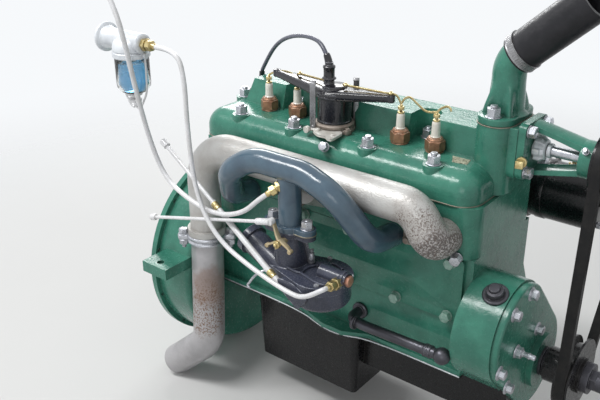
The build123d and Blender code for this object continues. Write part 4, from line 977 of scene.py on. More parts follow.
def ring_at(profile, at, direction, sides=72, limit=None):
    """Turn a ring, whose profile closes on itself round a hollow middle, and stand it at a place."""
    return placed(revolved(profile, sides, limit), at, direction), True


def stack(at, direction, *forms):
    """Stand several forms at one place."""
    return [placed(form, at, direction) for form in forms]


def strip(route, section, count, across=UP, size=1.0):
    """Carry a section along a smooth line through points in millimetres."""
    return swept(smooth_path(mm(*route), count), size, section=section, across=across)


def hex_nut(flats, height):
    """A hexagonal nut: a turned form held inside a hexagon, so its chamfers cut curves into the flats."""
    half = flats / 2
    crown = half * NUT_CROWN
    corner = half / math.cos(math.pi / 6)
    drop = (corner - half) * CHAMFER_SLOPE
    rise = np.linspace(0, 1, 5)
    edge = crown + (corner - crown) * rise
    profile = list(zip(edge, drop * rise)) + list(zip(edge[::-1], height - drop * rise[::-1]))
    return turned(np.array(profile) / MM, 48, hexagon(flats))


def nut_on_stud(at, direction, flats, height, stud, pitch, proud=0.004):
    """A washer, a chamfered nut and the stud's threaded end, standing at a place."""
    low, rim, top = flats * 0.62, flats * 0.66, WASHER + height
    disc = [(low, 0), (rim, WASHER * 0.3), (rim, WASHER * 0.7), (low, WASHER)]
    return stack(
        at,
        direction,
        turned(np.array(disc) / MM, 40),
        hex_nut(flats, height) + (0, 0, WASHER),
        threaded(stud, top - 0.001, top + proud, pitch),
    )


def hex_bolt(at, direction, flats, height, washer=0.0018):
    """A bolt head with its washer face, standing at a place."""
    low, rim = flats * 0.6, flats * 0.62
    disc = [(low, 0), (rim, washer * 0.5), (low, washer)]
    return stack(at, direction, turned(np.array(disc) / MM, 36), hex_nut(flats, height) + (0, 0, washer))


def slotted_screw(radius, height):
    """A round head with a slot: h(r, t) = H - depth where |r sin t| is under half the slot, on a dome."""
    t = np.linspace(0, TURN, 48, endpoint=False)
    r = np.concatenate([[radius, radius], np.linspace(radius * 0.94, 0, 12)])[:, None]
    dome = height * (1 - 0.25 * (r / radius) ** 2)
    cut = np.clip((SLOT - np.abs(r * np.sin(t))) / (0.3 * SLOT), 0, 1) * height * 0.45
    level = dome - cut
    level[0] = 0.0
    return closed(np.stack([r * np.cos(t), r * np.sin(t), level], axis=-1))


def flat_bar(half_width, half_thickness):
    """Give the section of a flat strip with rounded edges."""
    return rounded(half_width, half_thickness, min(half_width, half_thickness) * 0.9, 16)


def wing(root, tip, half_widths, half_heights):
    """A tapering arm: p(s, t) = c(s) + w(s) x(t) u + h(s) y(t) v, w and h straight in s, x and y rounded."""
    s = np.linspace(0, 1, 14)[:, None, None]
    t = np.linspace(0, TURN, 40, endpoint=False)
    x = np.sign(np.cos(t)) * np.abs(np.cos(t)) ** 0.55
    y = np.sign(np.sin(t)) * np.abs(np.sin(t)) ** 0.45
    first = unit(np.cross(UP, tip - root))
    width = (half_widths[0] + (half_widths[1] - half_widths[0]) * s) * MM
    height = (half_heights[0] + (half_heights[1] - half_heights[0]) * s) * MM
    ring = width * x[None, :, None] * first + height * y[None, :, None] * np.array(UP)
    return closed(root + (tip - root) * s + ring)


def about(middle, angle, radius, rise=0.0):
    """Give a point on a circle about an upright axis; the angle is in degrees, the lengths in millimetres."""
    turn = math.radians(angle)
    return np.asarray(middle) + mm(radius * math.cos(turn), radius * math.sin(turn), rise)


def spoke(angle):
    """Give the outward direction at an angle in degrees round an axis along X."""
    turn = math.radians(angle)
    return np.array((0.0, math.cos(turn), math.sin(turn)))


def rounded_corners(points, passes=4):
    """A line with its corners cut a quarter of the way along both runs, over and over, until it is smooth."""
    line = np.asarray(points, float) * MM
    for _ in range(passes):
        near, far = line[:-1] * 0.75 + line[1:] * 0.25, line[:-1] * 0.25 + line[1:] * 0.75
        line = np.concatenate([line[:1], np.stack([near, far], axis=1).reshape(-1, 3), line[-1:]])
    return line


class ENGINE_OT_head_nuts(bpy.types.Operator):
    """Puts chamfered nuts, washers and threaded stud ends on the head and on the outlet neck."""

    bl_idname = "engine.head_nuts"
    bl_label = "Head nuts"

    def execute(self, context):
        z = context.scene.engine_sizes
        blocks = []
        for at in STUDS:
            blocks += nut_on_stud(at, UP, z.nut_flats, z.nut_height, z.stud_radius, z.thread_pitch)
        piece("head_nut_set", blocks, "zinc_steel", ["head_nuts"])
        return {"FINISHED"}


class ENGINE_OT_spark_plugs(bpy.types.Operator):
    """Builds the four spark plugs: shells, porcelain and brass terminals."""

    bl_idname = "engine.spark_plugs"
    bl_label = "Spark plugs"

    def execute(self, context):
        flats = context.scene.engine_sizes.plug_flats
        half = flats / 2 / MM
        seat = [(half, 0), (half + 0.6, 1), (half, 2), (half - 1.5, 2.4)]
        crimp = [
            (half * 0.93, 20), (half * 0.93, 22), (half * 0.84, 23.4), (half * 0.8, 23.6),
            (half * 0.8, 24.6), (half * 0.66, 25),
        ]
        stem = [
            (8.4, 24.5), (8.6, 26), (7.4, 27.2), (7.2, 34), (6.9, 42), (6.9, 47), (6.4, 49.6), (5.4, 51),
        ]
        collar = [(5.2, 50.5), (5.8, 51), (5.8, 53), (5.2, 53.6), (3.4, 53.8)]
        thumb = [(4.6, 57), (5.4, 57.6), (5.4, 61.6), (4.8, 62.4), (3.0, 62.8)]
        shells, stems, caps = [], [], []
        for at in PLUGS:
            hexagonal = placed(hex_nut(flats, 0.0175) + mm(0, 0, 2.5), at, across=(0.9, 0.4, 0))
            shells += [lathe(seat, at), hexagonal, lathe(crimp, at)]
            stems.append(lathe(stem, at))
            caps.append(lathe(collar, at))
            caps.append(lathe(thumb, at, UP, 72, knurl(5.4 * MM, 18, 0.5 * MM)))
            caps.append(placed(threaded(2.6 * MM, 53 * MM, 65.5 * MM, 1.2 * MM, 20), at))
        piece("plug_shell_set", shells, "copper_shell", ["plug_shells"])
        piece("plug_porcelain_set", stems, "porcelain", ["plug_insulators"])
        piece("plug_terminal_set", caps, "brass_fitting", ["plug_terminals"])
        return {"FINISHED"}


class ENGINE_OT_distributor(bpy.types.Operator):
    """Builds the distributor: iron base, moulded body, cap with arms and boot, clips, lever and strips."""

    bl_idname = "engine.distributor"
    bl_label = "Distributor"

    def execute(self, context):
        at = DISTRIBUTOR
        base = [
            (35, 0), (36, 0.8), (36, 5.6), (35.2, 6.6), (33.4, 7), (33.2, 9.4), (34.6, 10), (34.8, 13.2),
            (33.4, 15), (30.4, 16.2),
        ]
        lug = slab(rounded(7, 6, 3, 32), 0.5, 9, 1)
        blocks = [lathe(base, at, sides=72)]
        for angle in (-18, 62, 168):
            blocks.append(placed(lug, about(at, angle, 36), UP, about((0, 0, 0), angle, 1)))
            blocks.append(placed(slotted_screw(0.0038, 0.003), about(at, angle, 38, 9)))
        piece("distributor_foot", blocks, "weathered_metal", ["distributor_base"])

        body = [(29, 16), (30.4, 16.6), (30.4, 19), (29.2, 19.8), (28.9, 40), (29.4, 61)]
        blocks = [lathe(body, at, sides=72)]
        piece("distributor_barrel", blocks, "black_moulding", ["distributor_body"])

        cap = [
            (31, 60), (32.2, 61), (32.2, 63), (31.4, 63.8), (32.8, 64.8), (32.8, 68.4), (32, 69.2),
            (29.5, 70.4), (25, 73), (21.6, 74.6), (21.4, 77.8), (20.2, 78.6), (15, 79.6), (0, 80),
        ]
        boot = [
            (10.6, -4), (10.6, 2), (9.5, 4), (9.2, 10), (10, 11), (12.2, 12.2), (12.3, 13.6), (11, 14.6),
            (9.7, 15.6), (9.5, 22), (9.8, 30), (10.7, 31.6), (10.7, 34), (9.6, 35.4), (7.3, 36.6),
            (7, 41),
        ]
        sleeve = mm((335.4, -61.8, 457), (333.6, -61.3, 463), (330.4, -60.2, 469), (327.6, -59.3, 472.6))
        size = mm(6.9, 6.9, 6.7, 6.6, 6.4, 6.3, 6.1, 5.9, 5.2)
        blocks = [
            lathe(cap, at, sides=72),
            lathe(boot, mm(336, -62, 420)),
            swept(smooth_path(sleeve, len(size)), size),
        ]
        knob = [(6, -6), (7, -4.6), (7, 5), (6.2, 7), (3, 7.6), (0, 7.8)]
        for end in (mm(456, -55.3, 418), mm(211, -50.3, 418)):
            blocks.append(wing(mm(348, -62, 410), end, (31, 6.4), (10, 6.2)))
            blocks.append(lathe(knob, end, sides=40))
        piece("distributor_hood", blocks, "black_moulding", ["distributor_cap"])

        line = [(17, 3), (18.4, 10), (18.6, 30), (18.4, 60), (18.2, 82), (16.6, 86.4), (12.4, 87.4)]
        line = mm(*line, (9.6, 84))
        blocks = []
        for side in (1, -1):
            facing = side * np.array((0.5, -0.866, 0.0))
            across = np.cross(UP, facing)
            foot = at - CLIP_OFFSET * across
            run = foot + line[:, :1] * facing + line[:, 1:] * np.array(UP)
            blocks.append(swept(smooth_path(run, 48), 1.0, section=flat_bar(1.1, 5), across=across))
            blocks.append(placed(slotted_screw(0.0036, 0.0024), foot + 0.0195 * facing + mm(0, 0, 8), facing))
        piece("distributor_springs", blocks, "lever_metal", ["distributor_clips"], "spring_steel")

        outline = [
            (336, -106), (332, -99), (336, -93), (346, -91), (352, -93), (362, -84), (374, -82),
            (384, -90), (386, -106), (387, -122), (380, -124), (370, -118), (358, -119), (346, -114),
        ]
        blocks = [
            placed(slab(smooth_loop(outline), 0, 4, 0.8), mm(0, 0, 348.6)),
            placed(slotted_screw(0.0048, 0.0036), mm(343, -103, 352.6), UP, (0.5, 0.8, 0)),
            placed(slotted_screw(0.0034, 0.0026), mm(378, -108, 352.6), UP, (0.9, 0.1, 0)),
            lathe(puck(6, -4, 4), mm(325, -109, 352), NEAR, 36),
            lathe(bar(2.2, -4, 20), mm(325, -109, 352), (0.8, 0.6, 0), 16),
        ]
        piece("timing_lever", blocks, "lever_metal", ["advance_lever"])

        blocks = [strip(route, flat_bar(1.9, 0.45), 36, (0, 1, 0.02)) for route in CONTACT_ROUTES]
        stud = [(3.8, 0), (4.2, 0.8), (4.2, 3), (3.4, 3.8), (2, 4), (2, 6), (0, 6.4)]
        for place in ((456, -55.4, 425), (266, -53.6, 425), (371, -62.6, 425.6), (328, -62, 425.6)):
            blocks.append(lathe(stud, mm(*place), sides=32))
        piece("contact_strips", blocks, "brass_fitting")
        return {"FINISHED"}


class ENGINE_OT_strainer(bpy.types.Operator):
    """Builds the fuel strainer: ribbed body, glass bowl with fuel in it, wire bail and thumb nut."""

    bl_idname = "engine.strainer"
    bl_label = "Fuel strainer"

    def execute(self, context):
        at = STRAINER
        barrel = [
            (24, -62), (25, -61), (25, -57.5), (24, -56.5), (20, -55), (17.6, -51), (16.8, -44),
            (16.6, -10), (16.8, 18), (17.2, 26), (17.2, 31), (15.6, 33), (13.6, 34),
        ]
        lid = [
            (0, 8), (20, 7), (26, 3.6), (29.6, -3), (31, -9), (31, -13), (30, -14), (30.4, -15),
            (31.6, -16), (31.6, -23.6), (30.4, -25), (25.6, -25), (25.6, -22),
        ]
        blocks = [lathe(barrel, at, FORWARD, 56), lathe(lid, at, sides=72)]
        blocks += [lathe(puck(5, -5, 5), at + mm(side * 33, 0, -19), FORWARD, 32) for side in (-1, 1)]
        piece("strainer_casting", blocks, "strainer_cast", ["strainer_body"])

        wall = [
            (15, -86), (20, -85), (25, -81), (28.4, -75), (29, -70), (29, -27), (28.4, -25.2),
            (26.4, -25.2), (26, -27), (26, -69), (25, -74), (21, -79.6), (16, -81.6), (0, -82),
        ]
        piece("strainer_glass", [lathe(wall, at, sides=72)], "clear_glass", ["strainer_bowl"])
        top = -82 + context.scene.engine_sizes.fuel_level / MM
        fuel = [
            (0, -81.9), (15.8, -81.5), (20.8, -79.5), (24.8, -74), (25.85, -69), (25.85, top),
            (24.6, top - 0.5), (0, top - 0.6),
        ]
        piece("strainer_fuel", [lathe(fuel, at, sides=72)], "clear_glass", finish="fuel_liquid")
        gauze = [(17, -24), (17, -31), (16.4, -31.6)]
        weave = knurl(17 * MM, 32, 0.5 * MM)
        piece("strainer_gauze", [lathe(gauze, at, UP, 64, weave)], "brass_fitting")

        left = [(-33.6, -17), (-33.4, -40), (-32, -70), (-29.5, -84), (-20, -101), (-12, -112), (-5, -114.4)]
        wire = [*left, (0, -111.6), *[(-x, h) for x, h in reversed(left)]]
        run = smooth_path(at + np.array([(x, 0, h) for x, h in wire]) * MM, 120)
        nut = [
            (3.4, -112), (3.4, -104), (9.5, -103.4), (11, -102), (11, -98), (9.5, -96.4), (6, -95.6),
            (6, -92), (12, -91.4), (13, -90.4), (13, -87.6), (12, -86.2),
        ]
        blocks = [
            swept(run, 0.0017, 16, across=(0, 1, 0)),
            lathe(nut, at, UP, 72, knurl(13 * MM, 24, 0.7 * MM)),
        ]
        piece("strainer_wire", blocks, "bright_tube", ["strainer_bail"])
        return {"FINISHED"}


class ENGINE_OT_carburettor(bpy.types.Operator):
    """Adds the carburettor's raised ribs, pads, lug, screws, bracket, choke dome and throttle lever."""

    bl_idname = "engine.carburettor"
    bl_label = "Carburettor details"

    def execute(self, context):
        blocks = [strip(route, rounded(2.4, 2.6, 1.8, 20), 40) for route in BOWL_RIBS]
        lean = (0.87, -0.49, 0)
        blocks.append(placed(slab(rounded(21, 10, 3, 40), 0, 8, 1.6), mm(443, -210, 165), UP, lean))
        blocks.append(placed(slab(rounded(14, 6.5, 3, 40), 0, 3, 1.2), mm(443, -210, 172.4), UP, lean))
        rim = [(14.6, 0), (15, 0.8), (15, 4.6), (14.2, 5.6)]
        blocks.append(lathe(rim, mm(486, -224, 169), FORWARD, 56))
        boss = [(9, 0), (9.6, 1), (9.6, 5), (8.6, 6)]
        blocks.append(lathe(boss, mm(488, -237, 169), NEAR))
        lug = [(396, 160), (424, 161), (446, 150), (452, 141), (444, 130), (434, 121), (424, 127), (408, 140)]
        blocks.append(placed(slab(smooth_loop(lug), -7, 7, 1.6), mm(0, -269, 0), NEAR))
        dome = [(0, 11), (6, 10.4), (11, 8), (14, 4), (15.4, 0), (15.4, -6)]
        mouth = mm(288, -222, 182)
        out = unit(mouth - mm(392, -236, 145))
        blocks.append(lathe(dome, mouth - out * 0.004, out))
        piece("carburettor_ribs", blocks, "carburettor_iron")

        bracket = [(402, -207, 166), (404, -210, 180), (405, -214, 196), (405, -217, 207)]
        blocks = [strip(bracket, flat_bar(5.4, 1.4), 16, (0, -0.4, 0.1))]
        blocks += hex_bolt(mm(409, -205, 166), (0.1, -0.2, 1), 0.010, 0.007)
        for start, end in (((303, -244, 188), (309, -246, 183)), ((314, -247, 181), (323, -249, 174))):
            blocks.append(swept(mm(start, end), 0.0026, 20))
        hook = [
            (352, -252, 152), (342, -259, 147), (335, -263, 140), (328, -264, 131), (322, -264, 122),
            (318, -264, 116), (322, -264, 112),
        ]
        blocks.append(swept(smooth_path(mm(*hook), 40), 0.0022, 14, across=(0, 1, 0)))
        for x, y in ((462, -262), (488, -203), (426, -177)):
            blocks.append(placed(slotted_screw(0.0042, 0.0034), mm(x, y, 165)))
        # A coil: p(s) = c + 4.4 (cos 44 s, sin 44 s) across, 9 s upwards, with s from 0 to 1
        s = np.linspace(0, 1, 160)
        coil = np.stack([409 + 4.4 * np.cos(s * 44), -205 + 4.4 * np.sin(s * 44), 174 + 9 * s], axis=-1)
        blocks.append(swept(coil * MM, 0.0006, 8, across=(0.3, 0.2, 1)))
        screw = [(2, 0), (2, 18), (4, 18.6), (4, 22)]
        blocks.append(lathe(screw, mm(409, -205, 167), UP, 24))
        piece("carburettor_screws", blocks, "zinc_steel")

        blocks = []
        head = [(7, 0), (7, 1.4), (6.4, 2)]
        for x in (343, 413):
            blocks += nut_on_stud(mm(x, -222, 235), UP, 0.017, 0.0125, 0.004, 0.0013, 0.0015)
            blocks.append(lathe(head, mm(x, -222, 215.2), UP, 32))
        piece("riser_nuts", blocks, "zinc_steel")

        grow = np.linspace(0.8, 1.25, 24)
        blocks = []
        for k, route in enumerate(FORK_ROUTES):
            size = grow if k == 0 else grow[::-1]
            blocks.append(strip(route, flat_bar(1.7, 4.2), len(grow), NEAR, size))
        blocks.append(lathe(bar(5, -8, 34), mm(385, -232, 215), NEAR, 32))
        for x, h in ((360, 204), (407, 206)):
            blocks.append(lathe(puck(3.8, -4, 4, 0.4), mm(x, -258, h), NEAR, 28))
        piece("throttle_fork", blocks, "lever_metal", ["throttle_lever"], "tan_metal")
        end = turned([(3, 0), (3, 9), (2, 10)], 28)
        blocks = stack(mm(385, -261, 215), NEAR, hex_nut(0.012, 0.006), end)
        piece("throttle_nut", blocks, "brass_fitting")
        return {"FINISHED"}


class ENGINE_OT_pipework(bpy.types.Operator):
    """Builds the fuel and vacuum pipes, the brass unions and the two control rods."""

    bl_idname = "engine.pipework"
    bl_label = "Pipes and rods"

    def execute(self, context):
        for name, route, radius, stands_for in (
            ("fuel_line", FUEL_ROUTE, 0.004, "fuel_pipe"),
            ("vacuum_line", VACUUM_ROUTE, 0.0042, "vacuum_pipe"),
        ):
            blocks = [swept(rounded_corners(route), radius, 24, across=(0.1, 1, 0.2))]
            piece(name, blocks, "bright_tube", [stands_for])

        flare = turned([(5.4, 0), (5.4, 4), (4.6, 8), (4.1, 9)], 40)
        tap = turned([(9.4, -8), (9.4, 0), (8, 1)], 40)
        # Columns: place, direction, then the union's forms
        unions = (
            (
                mm(370, -231, 303),
                unit(mm(361, -241, 295) - mm(376, -224, 308)),
                tap,
                hex_nut(0.018, 0.009),
                turned(bar(6.4, 8, 12), 40),
                hex_nut(0.0155, 0.010) + mm(0, 0, 12),
                flare + mm(0, 0, 21.4),
            ),
            (
                mm(488, -237, 169),
                (0, -1, 0.17),
                hex_nut(0.017, 0.012) + mm(0, 0, 1),
                hex_nut(0.0145, 0.012) + mm(0, 0, 14),
                flare + mm(0, 0, 25),
            ),
            (
                mm(113.5, -271, 499),
                FORWARD,
                hex_nut(0.019, 0.008),
                turned(bar(6, 7, 11), 40),
                hex_nut(0.0165, 0.010) + mm(0, 0, 10),
                flare + mm(0, 0, 19),
            ),
        )
        blocks = [form for row in unions for form in stack(*row)]
        piece("pipe_unions", blocks, "brass_fitting", ["pipe_fittings"])
        blocks = [lathe(bar(8.6, 0, 2), mm(491, -224, 169), FORWARD, 40)]
        blocks.append(placed(hex_nut(0.0165, 0.009), mm(492.5, -224, 169), FORWARD))
        piece("bowl_plug", blocks, "copper_shell", finish="pink_copper")

        front, rear = mm(371, -264, 251), mm(86, -264, 175)
        run = rear - front
        cuff = [(4.6, 0), (5.6, 0.8), (5.6, 15), (5.2, 16), (5.6, 17), (5.6, 28), (4.8, 30), (3.2, 30.4)]
        stop = [(5, 0), (6, 1), (6, 10), (5, 12)]
        blocks = [
            swept(front + run * np.linspace(0, 1, 12)[:, None], 0.003, 20),
            lathe(cuff, front, run, 40),
            lathe(stop, rear, -run, 40),
            lathe(puck(6, -5, 5, 0.4), front + mm(0, 2, 0), NEAR, 40),
        ]
        piece("throttle_link", blocks, "bright_tube", ["throttle_rod"])

        front, rear = mm(393, -270, 149), mm(100, -235, 317)
        run = rear - front
        size = [(0, 5.6), (0.09, 5.6), (0.09, 5), (0.5, 5), (0.5, 5.6), (0.55, 5.6), (0.55, 3.6), (0.96, 3.6)]
        size = np.array([*size, (0.96, 6.4), (1, 6.4)])
        blocks = [swept(front + run * size[:, :1], size[:, 1] * MM, 28)]
        piece("choke_link", blocks, "bright_tube", ["choke_rod"])
        ferrule = [(5.2, -1), (6.2, 0), (6.2, 4), (5.8, 5), (6.4, 6), (6.4, 12), (5.6, 14), (5.2, 14.4)]
        blocks = [lathe(ferrule, front + run * share, run, 40) for share in (0.04, 0.5)]
        piece("choke_ferrules", blocks, "brass_fitting")
        return {"FINISHED"}


class ENGINE_OT_clamps(bpy.types.Operator):
    """Builds the exhaust clamp, the manifold clamps, the hose clamp, the gaskets and the head's bare pad."""

    bl_idname = "engine.clamps"
    bl_label = "Clamps and gaskets"

    def execute(self, context):
        z = context.scene.engine_sizes
        at = mm(131, -171, 104)
        band = [
            (31.1, 0), (35.6, 0), (37.4, 1.6), (38, 4.4), (37, 7), (35, 8.6), (35, 10), (37.6, 11.6),
            (38.4, 14.2), (37, 17), (34, 18), (31.1, 18),
        ]
        blocks = [ring_at(band, at, UP)]
        ear = unit(about((0, 0, 0), 38, 1))
        ear_reach = 0.045
        plate = smooth_loop([(-12, -7), (2, -9), (10, -7), (13, 0), (10, 7), (2, 9), (-12, 7)], 48)
        for side in (-1, 1):
            lug = at + side * ear_reach * ear
            blocks.append(placed(slab(plate, 4, 14, 2), lug - side * 0.002 * ear, UP, side * ear))
            blocks += hex_bolt(lug + mm(0, 0, 14), UP, 0.015, 0.009)
            blocks += nut_on_stud(lug + mm(0, 0, 4), DOWN, 0.015, 0.010, 0.0042, z.thread_pitch, 0.007)
        piece("exhaust_clamp_set", blocks, "zinc_steel", ["exhaust_clamp"])

        blocks = []
        cup = [(15, 0), (17.4, 1.4), (18, 4), (16.4, 6.4), (12, 7.4), (0, 7.6)]
        for x in (165, 313, 417, 551):
            face = mm(x, -120, 226)
            blocks.append(lathe(cup, face, NEAR))
            blocks += nut_on_stud(
                face + mm(0, -7.4, 0), NEAR, 0.017, 0.012, z.stud_radius, z.thread_pitch, 0.007
            )
        piece("manifold_clamp_set", blocks, "weathered_metal", ["manifold_clamps"])

        # A slotted band: r(t, h) = 32.5 + lip(h) - 0.45 slot(t), open where sin 52 t is over a third
        middle = NECK + mm(0, 0, 499) + NECK_WAY * 0.024
        t = np.linspace(0, TURN, 240, endpoint=False)
        low = np.linspace(-6.5, 6.5, 19)[:, None]
        slots = np.clip(np.sin(52 * t) * 3 - 1, 0, 1) * (np.abs(low) < 4.2)
        lip = np.where(np.abs(low) > 5.4, 0.5, 0.0)
        reach = 32.5 + lip - 0.45 * slots
        outer = np.stack([reach * np.cos(t), reach * np.sin(t), low * np.ones_like(t)], axis=-1)
        inner = np.stack([31.05 * np.cos(t), 31.05 * np.sin(t), 0 * t], axis=-1)
        band = np.concatenate([outer, (inner + (0, 0, 6.5))[None], (inner - (0, 0, 6.5))[None]]) * MM
        blocks = [(placed(band, middle, NECK_WAY, FAR), True)]
        across = np.cross(NECK_WAY, FAR)
        blocks += stack(
            middle + mm(0, 36.4, 0),
            across,
            turned(puck(4.4, -9, 9, 1), 40),
            hex_nut(0.008, 0.005) + mm(0, 0, 8.5),
            threaded(2.4 * MM, -14 * MM, -8 * MM, 1.2 * MM),
        )
        piece("hose_band", blocks, "zinc_steel", ["hose_clamp"], "spring_steel")

        neck = slab(rounded(31.8, 57.8, 31.6, 72), 407.4, 409, 0.3)
        inlet = slab(rounded(55.8, 25.8, 25.6, 72), 0.2, 1.8, 0.3)
        riser = slab(rounded(50.8, 15.6, 15.4, 72), 224.8, 227, 0.5)
        blocks = [neck + NECK, placed(inlet, mm(365, 98, 250), FAR), riser + mm(378, -222, 0)]
        piece("joint_papers", blocks, "gasket_metal")
        sheet = slab(rounded(283.6, 111.6, 36.4, 160), 295, 297, 0.4)
        piece("head_joint", [sheet + mm(365, -11, 0)], "gasket_metal", ["head_gasket"])
        pad = mm((584, -74), (608, -70), (604, -50), (572, -50))
        share = np.linspace(0, 1, 12, endpoint=False)[None, :, None]
        edge = (pad[:, None] * (1 - share) + np.roll(pad, -1, axis=0)[:, None] * share).reshape(-1, 2)
        piece("bare_pad", [slab(edge, 344.6, 345.5, 0.3)], "weathered_metal", finish="bare_iron")
        return {"FINISHED"}


class ENGINE_OT_front_end(bpy.types.Operator):
    """Builds the front bolts, the gland nut, the case plug, the timing pin and the oil return pipe."""

    bl_idname = "engine.front_end"
    bl_label = "Front fittings"

    def execute(self, context):
        blocks = []
        for y in (-28, 28):
            for h in (338, 404):
                blocks += hex_bolt(mm(684, y, h), FORWARD, 0.016, 0.010)
        spot = [(11.5, -0.5), (12, 0.2), (11.5, 1)]
        for y, h in ((-125, 150), (-66, 158), (-158, 62), (-122, 14), (-20, 70)):
            blocks += hex_bolt(mm(734, y, h), FORWARD, 0.0145, 0.009)
            blocks.append(lathe(spot, mm(734, y, h), FORWARD, 40))
        blocks += hex_bolt(mm(372, -121, 334), (0.1, -0.86, 0.5), 0.014, 0.009)
        blocks += hex_bolt(mm(629, -121, 212), (0.2, -1, -0.2), 0.016, 0.012)
        piece("front_bolt_set", blocks, "zinc_steel", ["front_bolts"])

        gland = [(9, 0), (14, 0), (14, 2), (40, 3), (40, 13), (17, 14.6), (15.6, 19), (13, 20.6), (9, 20.6)]
        collar = [(8.55, 0), (11, 0), (11.6, 0.8), (11.6, 5), (11, 6), (8.55, 6)]
        blocks = [
            ring_at(gland, mm(685, 0, 371), FORWARD, 120, notched(17.4 * MM, 6, 2.2 * MM)),
            ring_at(collar, mm(707, 0, 371), FORWARD),
        ]
        piece("gland_nut", blocks, "strainer_cast", ["pump_packing_nut"])

        tilt = (0.3, -1, 0.1)
        blocks = [
            placed(slab(rounded(6, 6, 1, 32), 0, 9, 0.8), mm(684, -50, 359), tilt, UP),
            lathe(puck(8.6, 0, 5), mm(684, -44, 360), tilt, 36),
        ]
        piece("jacket_plug", blocks, "brass_fitting")
        nipple = [(5, 0), (5, 3), (3.2, 3.4), (3.2, 7), (4, 8), (4, 10), (3, 11), (0, 11.4)]
        piece("grease_nipple", [lathe(nipple, mm(771, -22, 389), (0, -0.76, 0.65), 32)], "zinc_steel")

        out = spoke(115)
        rim = [
            (19.6, 2), (20.4, 3), (20.4, 5.4), (19, 6.6), (16.2, 7), (14.2, 6.6), (13.8, 8), (13.8, 14),
            (13, 15.6), (9.4, 16.2), (9, 17), (9, 20), (8, 21.4), (0, 21.8),
        ]
        blocks = [lathe(rim, mm(699.2, -85, 92) + out * 0.084, out, 64)]
        piece("case_plug_turned", blocks, "dark_steel", ["case_plug"])

        pin = [
            (5.4, 8), (5.4, 12), (4.2, 13), (4.2, 20), (5.2, 20.6), (5.2, 23), (4.2, 23.6), (4.2, 30),
            (3.2, 32),
        ]
        disc = turned([(11, 0), (11.4, 0.8), (11, 1.8)], 40)
        blocks = stack(mm(734, -100, 70), FORWARD, hex_nut(0.0165, 0.010), turned(pin, 32), disc)
        piece("timing_pin_turned", blocks, "zinc_steel", ["timing_pin"])

        blocks = []
        for h, steps in ((100, range(6)), (198, (0, 2, 3, 5))):
            for step in steps:
                blocks += hex_bolt(mm(619 - 97 * step, -118, h), NEAR, 0.016, 0.0095)
        piece("cover_bolt_set", blocks, "engine_green", ["cover_bolts"], "worn_green")

        blocks = []
        for y in (-118, 118):
            for x in (216, 262, 312, 362, 410, 432, 505, 570):
                blocks += hex_bolt(mm(x, y * (0.93 if x > 444 else 0.955), -4), DOWN, 0.011, 0.007)
        blocks += hex_bolt(mm(330, 0, -150), DOWN, 0.019, 0.010, 0.003)
        piece("pan_bolt_set", blocks, "zinc_steel")

        elbow = mm(640.8, -168, 58)
        bend = mm(452, -158, 46)
        along = unit(elbow - bend)
        ball = [(14.2 * math.sin(a), -14.2 * math.cos(a)) for a in np.linspace(0.1, 3.04, 24)]
        joint = [(10.4, 0), (11, 1), (11, 5), (10.2, 6), (10.2, 8), (11, 9), (11, 13), (10.2, 14)]
        foot = [(14, 0.2), (15, 1), (15, 5), (13, 6.6)]
        route = np.array([elbow, (elbow + bend) / 2, bend, mm(452, -118.4, 46)]) / MM
        blocks = [
            swept(rounded_corners(route, 3), 0.009, 36, across=(0, 0.2, 1)),
            lathe([(0, -14.2), *ball, (0, 14.2)], elbow, along),
            lathe([*joint, (0, 14)], elbow - along * 0.032, along),
            lathe(puck(12.6, 0, 6, 1), bend + along * 0.012, along),
            lathe(foot, mm(452, -118, 46), NEAR),
        ]
        piece("oil_return_line", blocks, "dark_steel", ["oil_return_pipe"])
        return {"FINISHED"}


class ENGINE_OT_outlet(bpy.types.Operator):
    """Builds the cast water outlet: its flange, ribbed foot and leaning neck."""

    bl_idname = "engine.outlet"
    bl_label = "Water outlet"

    def execute(self, context):
        # r(t, h) = 26 + 15 k(h) exp(-((a - 33 deg) / 12 deg)^2), a the angle from the flange's nearer end
        bend_r, base, turn_z = 45.0, 418.0, 479.0
        straight = np.linspace(base, turn_z, 26)
        lift = np.linspace(0, NECK_LEAN, 14)[1:]
        t = np.linspace(0, TURN, 144, endpoint=False)
        upright = np.stack([0 * straight, 0 * straight, straight], axis=-1)
        bent = np.stack([bend_r * (1 - np.cos(lift)), 0 * lift, turn_z + bend_r * np.sin(lift)], axis=-1)
        centre = np.concatenate([upright, bent]) * MM + NECK
        tilt = np.concatenate([0 * straight, lift])[:, None]
        height = np.concatenate([straight, turn_z + 0 * lift])[:, None]
        fall = np.clip((height - base) / 54, 0, 1)
        keep = 1 - fall * fall * (3 - 2 * fall)
        away = np.degrees(np.arccos(np.abs(np.sin(t))))[None, :]
        rib = 15 * np.exp(-(((away - 33) / 12) ** 2)) + 2.5 * (away > 60)
        foot = 7 * np.clip(1 - (height - base) / 7, 0, 1) ** 2
        reach = (26 + keep * rib + foot * (away > 40)) * MM
        x, y = reach * np.cos(t), reach * np.sin(t)
        ring = np.stack([x * np.cos(tilt), y, -x * np.sin(tilt)], axis=-1)
        flange = slab(rounded(31, 57, 30.8, 96), 409, 420, 1.6) + NECK
        bead = [(27, -7), (28.2, -6), (28.2, -4.4), (27, -3.4), (26.4, 2)]
        blocks = [closed(centre[:, None] + ring), flange, lathe(bead, centre[-1], NECK_WAY, 72)]
        piece("outlet_neck", blocks, "engine_green", ["water_outlet"])
        return {"FINISHED"}


